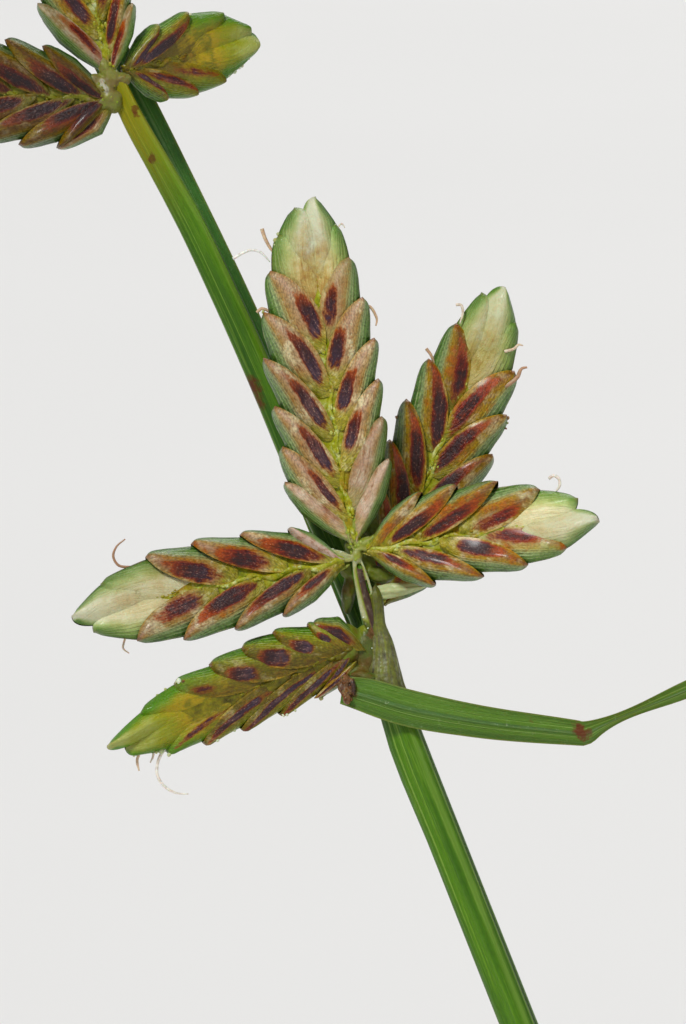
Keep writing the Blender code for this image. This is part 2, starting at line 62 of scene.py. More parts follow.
# The spikelets: foot, angle in the head's plane from x, tilt towards the viewer, roll about the
# spikelet's own axis, bend, and fold of its two ranks away from the viewer, in mm and degrees.
SPIKELETS = {
    "spikelet_tall": ((-0.04, 0.40, 0.10), 101, 2, 0, -8, 0),
    "spikelet_upper_right": ((0.82, -1.40, -1.35), 71, -3, 4, -4, 0),
    "spikelet_right": ((0.46, 0.08, 0.35), 9.5, 12, -6, -3, 0),
    "spikelet_left": ((-0.42, -0.28, 0.25), 190, 8, 8, 3, 0),
    "spikelet_low_left": ((-0.12, -2.72, 0.30), 200, 6, -15, 4, 15),
    "spikelet_back": ((-1.20, -0.45, -1.20), 189, -35, 80, 0, 0),
    "upper_spikelet_right": ((-6.55, 13.80, -0.15), 16, -32, 8, 0, 6),
    "upper_spikelet_top": ((-6.98, 13.80, -0.10), 104, 4, 0, -3, 0),
    "upper_spikelet_left": ((-7.15, 12.95, -0.05), 177, 6, -4, -2, 0),
}

# The glume tips of each spikelet, first on its left and then on its right, from the foot up: how
# far out from the axis and how far up it, in mm.
TIPS = {
    "spikelet_tall": (
        ((1.68, 1.95), (1.62, 2.95), (1.68, 4.10), (1.74, 5.45), (1.62, 6.72), (1.38, 7.86),
         (1.04, 8.85), (0.52, 9.58)),
        ((1.44, 2.14), (1.46, 3.39), (1.49, 4.49), (1.50, 5.68), (1.30, 6.89), (1.03, 8.08),
         (0.68, 9.05), (0.08, 9.86)),
    ),
    "spikelet_upper_right": (
        ((1.20, 1.90), (1.40, 3.20), (1.48, 4.45), (1.42, 5.70), (1.25, 7.01), (0.93, 8.26),
         (0.50, 9.35)),
        ((1.30, 1.50), (1.50, 2.75), (1.58, 3.95), (1.59, 5.14), (1.53, 6.35), (1.31, 7.64),
         (0.75, 8.95), (0.04, 9.78)),
    ),
    "spikelet_right": (
        ((1.42, 1.70), (1.48, 2.75), (1.38, 3.90), (1.09, 5.08), (0.65, 6.12)),
        ((1.31, 1.76), (1.26, 3.18), (1.13, 4.51), (0.79, 5.68), (0.06, 6.68)),
    ),
    "spikelet_left": (
        ((1.24, 1.95), (1.39, 3.39), (1.33, 4.89), (1.10, 6.20), (0.55, 7.35)),
        ((1.25, 1.30), (1.40, 2.70), (1.42, 4.11), (1.30, 5.45), (0.78, 6.85), (0.04, 7.86)),
    ),
    "spikelet_low_left": (
        ((1.06, 1.40), (1.16, 2.60), (1.18, 3.80), (1.12, 4.95), (0.95, 6.00), (0.48, 7.05)),
        ((1.12, 0.95), (1.26, 1.95), (1.20, 2.95), (1.06, 3.95), (0.96, 5.08), (0.58, 6.26),
         (0.04, 7.50)),
    ),
    "spikelet_back": (
        ((1.10, 1.50), (1.20, 2.70), (1.15, 3.90), (0.80, 5.10), (0.35, 6.00)),
        ((1.12, 2.10), (1.20, 3.30), (1.05, 4.50), (0.60, 5.60), (0.04, 6.40)),
    ),
    "upper_spikelet_right": (
        ((1.10, 1.30), (1.26, 2.45), (1.00, 3.62), (0.40, 4.38)),
        ((1.12, 1.10), (1.18, 2.20), (0.98, 3.22), (0.48, 4.15), (0.05, 4.52)),
    ),
    "upper_spikelet_top": (
        ((1.62, 2.35), (1.60, 3.50), (1.50, 4.60), (1.30, 5.70), (0.95, 6.75), (0.45, 7.45)),
        ((1.12, 1.75), (1.45, 2.90), (1.50, 4.00), (1.38, 5.15), (1.12, 6.25), (0.72, 7.15),
         (0.04, 7.72)),
    ),
    "upper_spikelet_left": (
        ((1.46, 1.30), (1.45, 2.40), (1.40, 3.50), (1.20, 4.65), (0.90, 5.75), (0.42, 6.75)),
        ((1.45, 1.90), (1.54, 3.00), (1.48, 4.10), (1.30, 5.20), (1.00, 6.30), (0.04, 7.30)),
    ),
}
# The same for the spikelets of the other culms, and their bend in degrees.
SMALL_TIPS = (
    ((1.05, 1.60), (1.28, 2.90), (1.22, 4.20), (0.92, 5.50), (0.45, 6.80)),
    ((1.18, 2.25), (1.30, 3.55), (1.10, 4.85), (0.72, 6.15), (0.04, 7.45)),
)
SMALL_BEND = 4

# The length of a glume and half its thickness, in mm.
GLUME_LENGTH, GLUME_DEPTH = 2.6, 0.50
# Forms as places and the values there. The depth of glumes along a spikelet, its half-width below
# the first tip, and along a glume from base to tip: how far out its keel is, how thick it is and
# how much its margin drops. A spikelet's axis is thicker at its foot.
GLUME_DEPTHS = ((0, 0.2, 0.6, 0.8, 0.92, 1), (0.85, 1, 1, 0.8, 0.6, 0.95))
FOOT_OUTLINE = ((-0.2, 0, 0.23, 0.47, 0.75), (0.1, 0.17, 0.52, 0.78, 0.94))
KEEL_BULGE = ((0, 0.1, 0.2, 0.35, 0.5, 0.62, 0.75, 0.86, 0.95, 1),
              (0.10, 0.45, 0.66, 0.80, 0.86, 0.92, 1.0, 1.04, 1.03, 0.99))
LOWEST_KEEL_BULGE = ((0, 0.1, 0.5, 0.8, 1), (0.5, 0.95, 1.0, 1.02, 1))
GLUME_SWELL = ((0, 0.2, 0.4, 0.6, 0.75, 0.88, 0.96, 1), (0.34, 0.55, 0.76, 0.94, 1.0, 0.88, 0.55, 0))
MARGIN_DROP = ((0, 0.3, 0.5, 0.7, 0.9, 1), (0.12, 0.26, 0.34, 0.30, 0.24, 0.30))
RACHILLA_THICKNESS = ((-0.02, 0.02, 0.07, 0.16, 0.58, 1), (0.8, 1.15, 1.15, 1, 0.85, 0.4))
# Points from keel to margin and from base to tip, and the names of a glume's point values.
GLUME_DETAIL, SMALL_GLUME_DETAIL = (12, 26), (4, 10)
GLUME_VALUES = ("fold", "tone", "run", "spot", "light", "whole")
# The least half-width of a spikelet, in mm, where a share of it is taken.
LEAST_HALF_WIDTH = 0.15

# Glumes unlike their neighbours, by side and number: strength of the patch, youth and, where it
# differs, brightness.
ODD_GLUMES = {
    "spikelet_tall": {(1, 0): (0.0, 0.52, 1.12), (1, 1): (0.10, 0.46, 1.08),
                      (-1, 0): (0.25, 0.46, 1.05), (1, 2): (0.80, 0.0), (-1, 1): (0.85, 0.0),
                      (-1, 5): (1.0, 0.0), (-1, 6): (0.0, 0.85), (1, 4): (1.0, 0.0),
                      (1, 5): (0.70, 0.45), (1, 6): (0.0, 1.0)},
    "spikelet_upper_right": {(-1, 5): (0.80, 0.25), (1, 5): (0.95, 0.05), (1, 6): (0.0, 0.85),
                             (-1, 6): (0.0, 1.0)},
    "spikelet_right": {(-1, 0): (0.0, 0.15), (-1, 3): (0.65, 0.30), (1, 3): (0.55, 0.45),
                       (-1, 4): (0.0, 1.0), (1, 0): (0.75, 0.12)},
    "spikelet_left": {(1, 0): (0.0, 0.80), (-1, 3): (0.72, 0.25), (-1, 0): (0.75, 0.0),
                      (1, 3): (0.95, 0.0), (1, 4): (0.0, 0.95), (-1, 4): (0.0, 1.0)},
    "spikelet_low_left": {(1, 4): (0.35, 0.5), (1, 3): (0.95, 0.10), (1, 0): (0.9, 0.0),
                          (1, 5): (0.0, 1.0), (-1, 4): (0.5, 0.7), (-1, 3): (0.9, 0.1)},
    "upper_spikelet_top": {(-1, 0): (0.50, 0.70, 1.15), (1, 0): (0.75, 0.50, 1.2)},
    "upper_spikelet_left": {(-1, 0): (0.80, 0.10)},
    "upper_spikelet_right": {(1, 2): (0.45, 0.5), (-1, 2): (0.0, 0.7), (-1, 1): (1.15, 0.0),
                             (-1, 0): (0.8, 0.0), (1, 0): (1.0, 0.0), (1, 1): (0.7, 0.3)},
}

# For each spikelet: redness, olive, ripe share, brightness, and how stained its young glumes are.
# Its brightness is partly the spikelet's own tone and partly painted shade, most of all on the
# upper left spikelet at 0.55.
# Glumes above the ripe share of its length are young: pale, without a patch.
TONES = {
    "spikelet_tall": (0.20, 0.16, 0.72, 1.0, 0.85),
    "spikelet_upper_right": (0.90, 0.62, 0.82, 0.95, 0.80),
    "spikelet_right": (0.80, 0.45, 0.68, 1.0, 0.50),
    "spikelet_left": (0.55, 0.26, 0.70, 0.92, 0.50),
    "spikelet_low_left": (0.15, 1.00, 0.60, 1.02, 0.50),
    "spikelet_back": (0.60, 0.60, 0.70, 0.8, 0.50),
    "upper_spikelet_right": (0.25, 0.95, 0.52, 0.98, 0.50),
    "upper_spikelet_top": (0.55, 0.62, 0.75, 0.85, 0.40),
    "upper_spikelet_left": (0.60, 0.70, 0.80, 0.55, 0.50),
    "small": (0.50, 0.45, 0.72, 0.95, 0.50),
}

# How glumes are formed where it differs, for the left and the right row: roundness of the tip,
# fullness of the keel, flatness of the margin, width of the green on the keel, and reach of the
# margin across the axis.
FORMS = {
    "spikelet_left": ((0.7, 0.45, 0.0, 0.5, 0.0), (0.7, 0.35, 0.0, 0.5, 0.0)),
    "spikelet_low_left": ((0.9, 0.75, 0.10, 0.6, 0.0), (1.0, 0.30, 0.05, 0.8, 0.35)),
    "upper_spikelet_right": ((0.9, 0.55, 0.05, 0.8, 0.15), (0.9, 0.45, 0.05, 0.8, 0.15)),
    "upper_spikelet_left": ((0.3, 0.0, 0.0, -0.3, 0.0), (0.3, 0.0, 0.0, -0.3, 0.0)),
}
PLAIN_FORMS = ((0.55, 0.2, 0.0, 0.5, 0.0), (0.55, 0.2, 0.0, 0.5, 0.0))

# The dark patch on the glumes of each spikelet's left and right side: where it is from keel to
# margin and from base to tip, its half-length and its half-width, as shares of those.
PATCHES = {
    "spikelet_tall": ((0.74, 0.36, 0.25, 0.17), (0.74, 0.36, 0.20, 0.20)),
    "spikelet_upper_right": ((0.74, 0.39, 0.35, 0.20), (0.74, 0.40, 0.35, 0.20)),
    "spikelet_right": ((0.74, 0.38, 0.27, 0.20), (0.73, 0.36, 0.26, 0.21)),
    "spikelet_left": ((0.73, 0.38, 0.30, 0.24), (0.71, 0.41, 0.28, 0.31)),
    "spikelet_low_left": ((0.66, 0.46, 0.44, 0.13), (0.72, 0.58, 0.14, 0.24)),
    "upper_spikelet_right": ((0.76, 0.46, 0.30, 0.26), (0.74, 0.46, 0.38, 0.20)),
    "upper_spikelet_top": ((0.73, 0.38, 0.28, 0.21), (0.73, 0.38, 0.28, 0.21)),
    "upper_spikelet_left": ((0.73, 0.36, 0.30, 0.25), (0.73, 0.36, 0.30, 0.25)),
}
PLAIN_PATCHES = ((0.73, 0.38, 0.27, 0.21), (0.73, 0.38, 0.27, 0.21))

# Glumes placed one by one at the foot of the head, its knot and its upper joint: foot in pixels of
# the photograph, direction in degrees, side of the keel, tips as above, depth, half the thickness,
# tone (patch, youth, olive), the patch, redness and brightness.
LONE_GLUMES = (
    ((366, 650), 195, 1, ((0.95, 0.05), (1.40, 0.50), (1.12, 1.32)), 0.30, 0.42, (1.0, 0.0, 0.75),
     (0.60, 0.45, 0.30, 0.26), 0.4, 0.85),
    ((357, 660), 210, -1, ((0.40, 0.05), (0.52, 0.60), (0.36, 1.62)), 0.26, 0.40, (0.9, 0.0, 0.40),
     (0.62, 0.50, 0.44, 0.16), 0.3, 0.90),
    ((362, 553), -24, -1, ((0.30, 0.05), (0.42, 0.60), (0.34, 2.20)), 0.30, 0.30, (0.0, 0.25, 0.2),
     (0.7, 0.4, 0.2, 0.2), 0.2, 1.0),
    ((116, 101), 205, -1, ((0.40, 0.05), (0.86, 0.75), (0.58, 2.10)), -0.10, 0.40, (0.60, 0.3, 0.3),
     (0.66, 0.45, 0.36, 0.24), 0.3, 0.80),
)

# Stems and bracts of the tallest head, as points with a radius or a width each.
CULM_FOOT = (0.5, -0.5)
CULM_BEND = ((0.4, -1.2, 133), (-14.5, -9.5, 218))
CULM_TOP = ((4.73, -13.46, -0.2), (2.74, -8.43, 0.0), (1.31, -4.77, 0.0), (0.72, -2.75, 0.0),
            (0.35, -1.4, 0.0), (0.02, -0.1, 0.0))
CULM_RADII = (0.82, 0.74, 0.64, 0.57, 0.56, 0.55, 0.36, 0.26, 0.20)
RAY = ((1.1, -4.1, -0.3), (0.55, -2.6, -0.95), (-0.35, -0.3, -1.45), (-1.65, 2.69, -1.6),
       (-2.35, 4.4, -1.5), (-3.74, 7.53, -1.15), (-4.88, 9.89, -0.75), (-5.52, 11.03, -0.5),
       (-6.45, 12.7, -0.2), (-6.85, 13.6, -0.1))
RAY_RADII = (0.25, 0.40, 0.46, 0.47, 0.47, 0.45, 0.43, 0.40, 0.34, 0.28)
BRACT_FRONT = (
    (-0.38, -3.90, 0.74), (0.3, -4.05, 0.90), (1.3, -4.35, 0.96), (3.3, -4.75, 0.98),
    (6.30, -5.11, 0.9), (6.48, -5.13, 0.9), (6.62, -5.09, 0.9), (6.80, -5.00, 0.9),
    (9.6, -3.80, 0.9), (15, -1.2, 1.1), (24, 2.6, 1.2), (36, 4.6, 0.2), (48, 2.8, -2),
)
BRACT_FRONT_WIDTHS = (0.80, 0.98, 1.05, 0.95, 0.72, 0.70, 0.66, 0.54, 0.50, 0.62, 0.7, 0.52, 0.10)
BRACT_BACK = (
    (1.15, -4.3, -0.45), (0.6, -2.9, -1.75), (-0.95, 1.0, -2.45), (-2.65, 5.4, -2.6),
    (-5.38, 11.1, -2.5), (-6.4, 13.1, -2.5), (-8.7, 17.5, -3.2), (-14.5, 26, -5), (-23, 35, -9),
    (-34, 40, -14),
)
BRACT_BACK_WIDTHS = (0.5, 0.8, 0.98, 1.0, 1.1, 1.15, 1.15, 1.1, 0.85, 0.12)

# How far the corners of the culm and the ray are turned, in degrees. The section of stems: the
# share of the radius on their flat sides, and the height of their fine ribs.
CULM_TURN, RAY_TURN = 70, 50
STEM_FLAT, STEM_RIB = 0.86, 0.02
STEM_SIDES, SMALL_STEM_SIDES = 48, 24
# Points along the stems and blades, and points that the curves of the small ones go through.
CULM_POINTS, RAY_POINTS, BRACT_POINTS = 260, 120, 400
SMALL_CULM_POINTS, SMALL_BRACT_POINTS, LEAF_POINTS = 60, 40, 70
CULM_KNOTS, BRACT_KNOTS, LEAF_KNOTS = 7, 5, 8
# Points across half a blade.
MAIN_BRACT_COLUMNS, BRACT_COLUMNS, LEAF_COLUMNS = 8, 4, 6

# The pot and its soil, as turned.
POT_HEIGHT, POT_BASE_RADIUS, POT_SHOULDER_RADIUS = 98, 37, 50
COLLAR_RADIUS, COLLAR_HEIGHT, POT_WALL, POT_FLOOR, RIM_ROUND = 56, 22, 5, 6, 1.6
POT_FILLET, EDGE_ROUND, POT_STEPS = 2.5, 1.2, 128
INNER_LEDGE = POT_HEIGHT - COLLAR_HEIGHT + 2
INNER_TOP_RADIUS = COLLAR_RADIUS - POT_WALL - 1.5
DRAIN_HOLES, DRAIN_RADIUS, DRAIN_CIRCLE = 3, 4, 18
SOIL_EDGE_HEIGHT, SOIL_DOME, SOIL_LUMP = 82, 4, 0.7
SOIL_RELIEF = ((1.9, 0.28), (0.9, 0.16), (0.5, 0.09))
SOIL_CRUMBS = 520
CROWN_RADIUS, LUMPY_BEYOND, ROOT_GAP, ROOT_DEPTH = 15, 8, 0.5, 1.6

# The other culms: number, azimuth, lean at the base and at the top, and length.
CULMS = (
    (1, 16, 4, 21, 178), (2, 62, 2, 12, 186), (3, 112, 3, 19, 146), (4, 160, 5, 27, 118),
    (5, 246, 5, 27, 98), (6, 288, 4, 22, 138), (7, 332, 4, 17, 160),
)
CULM_CROWN_RADIUS = 6.0
SMALL_CULM_RADIUS, SMALL_CULM_TOP_RADIUS = 0.72, 0.4464
HEAD_SPIKELETS, HEAD_CORE_RADIUS = 5, 1.0
HEAD_SPIKELET_LENGTH = 7.6
HEAD_SPIKELET_LEANS = (12, 62)
GOLDEN_TURN = math.radians(137.5)
# Their two bracts: name, turn from the culm's azimuth, length, width, lean at the base and at the
# tip.
HEAD_BRACTS = (("long", 40, 62, 1.5, 76, 112), ("short", 215, 34, 1.3, 70, 96))
HEAD_BRACT_DROP = 1.6
# Their cores, as tubes along the culm: start, end, number of points, radii at places along it in
# mm from the culm's top, and colour. The second is the knot that the bracts grow from.
HEAD_CORE = (
    (-0.6, 1.9, 14, (-0.6, -0.3, 0, 0.4, 0.9, 1.5, 1.9),
     (0.47, 0.50, 0.50, 0.62, 0.95, 0.75, 0.2), 0.52),
    (-2.5, -0.6, 12, (-2.5, -2.1, -1.4, -1.0, -0.6), (0.5, 0.62, 0.66, 0.6, 0.5), 0.66),
)

# The basal leaves: azimuth, lean at the base and at the tip, length and width.
LEAVES = (
    (4, 12, 88, 150, 2.6), (31, 9, 62, 168, 2.4), (52, 15, 105, 128, 2.8),
    (82, 10, 74, 160, 2.5), (101, 14, 98, 138, 2.7), (130, 11, 84, 144, 2.3),
    (148, 17, 112, 120, 2.8), (178, 12, 92, 142, 2.5), (204, 16, 104, 118, 2.6),
    (229, 13, 86, 128, 2.4), (262, 18, 110, 124, 2.8), (276, 9, 66, 112, 2.2),
    (304, 13, 96, 146, 2.6), (347, 16, 106, 132, 2.7),
)
LEAF_CROWN_RADIUS = 10.5
LEAF_FOLD = 0.34
LEAF_THICKNESS, BRACT_THICKNESS = 0.34, 0.2
# How far leaves, culms and bracts turn sideways along their length, in degrees.
DRIFT = 9


# Meshes

class Sheets:
    """Grids of points, in mm, gathered into one mesh with named values at each point."""

    def __init__(self, *names):
        self.points, self.faces, self.count = [], [], 0
        self.values = {name: [] for name in names}

    def grid(self, points, wrap=False, caps=False, **values):
        """Adds rows of points. wrap joins the ends of each row, caps closes the end rows."""
        rows, columns = points.shape[:2]
        index = self.count + np.arange(rows * columns).reshape(rows, columns)
        ring = np.concatenate([index, index[:, :1]], axis=1) if wrap else index
        quads = np.stack([ring[:-1, :-1], ring[:-1, 1:], ring[1:, 1:], ring[1:, :-1]], axis=-1)
        self.faces += quads.reshape(-1, 4).tolist()
        if caps:
            self.faces += [index[0, ::-1].tolist(), index[-1].tolist()]
        self.points.append(points.reshape(-1, 3))
        for name, kept in self.values.items():
            kept.append(np.broadcast_to(values[name], (rows, columns, 3)).reshape(-1, 3))
        self.count += rows * columns

    def mesh(self, points, faces, **values):
        """Adds points and the faces between them."""
        self.faces += [[self.count + i for i in face] for face in faces]
        self.points.append(points)
        for name, kept in self.values.items():
            kept.append(values[name])
        self.count += len(points)

    def build(self, name, material, slot, replaces=()):
        """The object, riding on the root, in place of the CAD nodes that replaces names."""
        mesh = bpy.data.meshes.new(name)
        mesh.from_pydata((np.concatenate(self.points) * MM).tolist(), [], self.faces)
        for key, kept in self.values.items():
            layer = mesh.attributes.new(key, "FLOAT_VECTOR", "POINT")
            layer.data.foreach_set("vector", np.concatenate(kept).astype(np.float32).ravel())
        mesh.shade_smooth()
        mesh.materials.append(material)
        obj = placed(name, mesh)
        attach(obj, "root")
        if replaces:
            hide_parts(*replaces)
        return obj


def placed(name, data):
    """A new object in the scene."""
    obj = bpy.data.objects.new(name, data)
    bpy.context.scene.collection.objects.link(obj)
    return obj


def modified(obj):
    """A new mesh as the object's modifiers shape it."""
    graph = bpy.context.evaluated_depsgraph_get()
    return bpy.data.meshes.new_from_object(obj.evaluated_get(graph))


def stack(*parts):
    """Broadcasts the parts and stacks them as the last axis."""
    return np.stack(np.broadcast_arrays(*parts), axis=-1)


def lengths(line):
    """The length of the line up to each of its points."""
    steps = np.linalg.norm(np.diff(line[:, :3], axis=0), axis=1)
    return np.concatenate([[0], np.cumsum(steps)])


def smooth_line(points, count):
    """count points on a smooth curve through the given ones, evenly spaced along it. Values
    behind the three coordinates are carried along."""
    given = np.array([tuple(point) for point in points], float)
    knots = lengths(given)
    slopes = np.gradient(given, knots, axis=0)
    fine = []
    for i in range(len(given) - 1):
        reach = knots[i + 1] - knots[i]
        for t in np.linspace(0, 1, 24, endpoint=False):
            fine.append(
                (2 * t ** 3 - 3 * t * t + 1) * given[i] + (t ** 3 - 2 * t * t + t) * reach * slopes[i]
                + (3 * t * t - 2 * t ** 3) * given[i + 1] + (t ** 3 - t * t) * reach * slopes[i + 1]
            )
    fine = np.array([*fine, given[-1]])
    along = lengths(fine)
    at = np.linspace(0, along[-1], count)
    return np.stack([np.interp(at, along, fine[:, k]) for k in range(fine.shape[1])], axis=1)


def arch(foot, azimuth, lean_foot, lean_tip, length, count, power=1.3):
    """Points of a stem or blade that leans outwards more and more towards its tip."""
    share = (np.arange(count - 1) + 0.5) / (count - 1)
    lean = np.radians(lean_foot + (lean_tip - lean_foot) * share ** power)
    turn = np.radians(azimuth + DRIFT * share)
    ahead = stack(np.sin(lean) * np.cos(turn), np.sin(lean) * np.sin(turn), np.cos(lean))
    steps = np.cumsum(ahead * length / (count - 1), axis=0)
    return np.vstack([foot, foot + steps])


def unit(vectors):
    """The vectors at length 1."""
    return vectors / np.linalg.norm(vectors, axis=-1, keepdims=True)


def frames(points, across):
    """Directions sideways and up at each point, with sideways kept near the given one."""
    ahead = unit(np.gradient(points, axis=0))
    across = np.asarray(across, float)
    side = unit(across - (ahead @ across)[:, None] * ahead)
    return side, np.cross(ahead, side)


def circle(count):
    """Angles once round."""
    return np.linspace(0, 2 * math.pi, count, endpoint=False)


def rings(line, across, angle, radii):
    """A ring of points round each point of the line."""
    side, up = frames(line, across)
    ring = side[:, None] * np.cos(angle)[:, None] + up[:, None] * np.sin(angle)[:, None]
    return line[:, None] + ring * radii


def head_points(points):
    """Points of the tallest head's frame, in the scene's millimetres."""
    turn = np.array(HEAD_FRAME.to_3x3())
    return np.asarray(points, float) @ turn.T + np.array(HEAD) / MM


def photo_point(x, y, z):
    """The head's point seen at a pixel of the photograph, at a depth in mm."""
    return ((x - HEAD_PIXEL[0]) / PIXELS_A_MM, (HEAD_PIXEL[1] - y) / PIXELS_A_MM, z)


def head_direction(x, y, z):
    """A direction of the head's frame, in the scene."""
    return np.array(HEAD_FRAME.to_3x3() @ Vector((x, y, z)))


# Shaders

def srgb(red, green, blue):
    """A linear colour from display values of 0 to 255."""
    values = np.array([red, green, blue]) / 255
    linear = np.where(values <= 0.04045, values / 12.92, ((values + 0.055) / 1.055) ** 2.4)
    return (*linear.tolist(), 1)


class Value:
    """A node's output in a material. Arithmetic with it adds maths nodes."""

    def __init__(self, material, socket):
        self.math, self.socket = material.math, socket

    def __add__(self, other):
        return self.math("ADD", self, other)

    def __sub__(self, other):
        return self.math("SUBTRACT", self, other)

    def __rsub__(self, other):
        return self.math("SUBTRACT", other, self)

    def __mul__(self, other):
        return self.math("MULTIPLY", self, other)

    def __truediv__(self, other):
        return self.math("DIVIDE", self, other)

    def __pow__(self, other):
        return self.math("POWER", self, other)

    def __abs__(self):
        return self.math("ABSOLUTE", self)

    __radd__, __rmul__ = __add__, __mul__


class Material:
    """A Principled material whose nodes are added one by one. Its methods return Values."""

    def __init__(self, name, **sockets):
        self.data = bpy.data.materials.new(name)
        self.data.use_nodes = True
        self.tree = self.data.node_tree
        self.shader = self.tree.nodes["Principled BSDF"]
        for key, value in sockets.items():
            socket = key.replace("_", " ").title().replace("Ior", "IOR")
            self.shader.inputs[socket].default_value = value

    def node(self, kind, inputs, **settings):
        made = self.tree.nodes.new(kind)
        for key, value in settings.items():
            setattr(made, key, value)
        for key, value in inputs.items():
            if isinstance(value, Value):
                self.tree.links.new(value.socket, made.inputs[key])
            else:
                made.inputs[key].default_value = value
        return made

    def value(self, kind, inputs, output=0, **settings):
        return Value(self, self.node(kind, inputs, **settings).outputs[output])

    def attribute(self, name):
        """The three values stored at each point under that name."""
        stored = self.value("ShaderNodeAttribute", {}, "Vector", attribute_name=name)
        split = self.node("ShaderNodeSeparateXYZ", {0: stored})
        return [Value(self, socket) for socket in split.outputs]

    def place(self):
        """The point in the object's own space, in millimetres."""
        where = self.value("ShaderNodeTexCoord", {}, "Object")
        return self.value("ShaderNodeVectorMath", {0: where, "Scale": 1 / MM}, operation="SCALE")

    def vector(self, x, y, z=0.0):
        return self.value("ShaderNodeCombineXYZ", {0: x, 1: y, 2: z})

    def math(self, operation, first, second=0.0):
        return self.value("ShaderNodeMath", {0: first, 1: second}, operation=operation)

    def between(self, value, low, high, to_low=0.0, to_high=1.0):
        """value from low..high, eased, to to_low..to_high."""
        inputs = {0: value, 1: low, 2: high, 3: to_low, 4: to_high}
        return self.value("ShaderNodeMapRange", inputs, interpolation_type="SMOOTHSTEP")

    def mix(self, factor, first, second, blend="MIX"):
        inputs = {0: factor, 6: first, 7: second}
        return self.value("ShaderNodeMix", inputs, 2, data_type="RGBA", blend_type=blend)

    def shaded(self, colour, brightness):
        """The colour times the brightness."""
        grey = self.vector(brightness, brightness, brightness)
        return self.mix(1.0, colour, grey, "MULTIPLY")

    def ramp(self, value, stops):
        """The colour at value between the stops, each a position with a colour."""
        made = self.node("ShaderNodeValToRGB", {0: value})
        elements = made.color_ramp.elements
        while len(elements) < len(stops):
            elements.new(0.5)
        for element, (position, colour) in zip(elements, stops):
            element.position = position
            element.color = colour
        return Value(self, made.outputs[0])

    def noise(self, scale, where, detail=3.0, rough=0.55, distortion=0.0):
        inputs = {"Vector": where, "Scale": scale, "Detail": detail, "Roughness": rough,
                  "Distortion": distortion}
        return self.value("ShaderNodeTexNoise", inputs)

    def cells(self, scale, where):
        return self.value("ShaderNodeTexVoronoi", {"Vector": where, "Scale": scale}, "Distance")

    def link(self, value, socket):
        self.tree.links.new(value.socket, self.shader.inputs[socket])

    def colour(self, value, depth=1.0, rich=1.0):
        """Links the base colour. A depth above 1 makes it darker, rich makes it more vivid."""
        deeper = self.value("ShaderNodeGamma", {0: value, 1: depth})
        inputs = {"Saturation": rich, "Color": deeper}
        self.link(self.value("ShaderNodeHueSaturation", inputs), "Base Color")

    def roughness(self, value):
        self.link(value, "Roughness")

    def bump(self, height, distance):
        """Raises the surface by height times distance, in mm."""
        inputs = {"Height": height, "Distance": distance * MM}
        self.link(self.value("ShaderNodeBump", inputs), "Normal")


KEEL_EDGE = srgb(74, 110, 50)
KEEL_FRESH = srgb(88, 128, 46)
# KEEL_GREEN and KEEL_PALE are pale partly for the keel's own grey-green and partly as a painted
# whitish sheen.
KEEL_GREEN = srgb(110, 144, 80)
KEEL_PALE = srgb(158, 172, 128)
KEEL_LINE = srgb(196, 208, 164)
TAN = srgb(176, 150, 106)
PINK = srgb(200, 176, 156)
BLUSH = srgb(208, 190, 176)
CREAM = srgb(232, 224, 192)
RUST = srgb(146, 96, 60)
GOLD = srgb(180, 152, 72)
UMBER = srgb(136, 96, 48)
OLIVE = srgb(130, 126, 34)
OLIVE_DARK = srgb(118, 104, 34)
MARGIN = srgb(204, 176, 112)
MARGIN_GOLD = srgb(210, 176, 92)
YOUNG = srgb(226, 228, 204)
YOUNG_PALE = srgb(186, 200, 150)
YOUNG_GREEN = srgb(130, 158, 96)
OLIVE_GOLD = srgb(178, 156, 46)
OLIVE_FRESH = srgb(150, 154, 60)
OLIVE_PALE = srgb(170, 176, 112)
OLIVE_GREEN = srgb(104, 146, 54)
STAIN = srgb(196, 166, 84)
STAIN_BROWN = srgb(160, 112, 50)
LOW_GREEN = srgb(132, 138, 44)
LOW_YELLOW = srgb(172, 166, 78)
LOW_PALE = srgb(204, 202, 146)
TIP = srgb(160, 112, 72)
FRINGE = srgb(150, 82, 44)
FRINGE_RED = srgb(156, 50, 28)
ORANGE = srgb(190, 98, 30)
PATCH_BROWN = srgb(104, 50, 38)
PATCH_DARK = srgb(72, 44, 46)
PATCH_SLATE = srgb(76, 64, 84)
VEIL = srgb(156, 124, 120)
DOT = (0.03, 0.022, 0.016, 1)
CELL_GREEN = (0.01, 0.03, 0.004, 1)
NERVES = 13


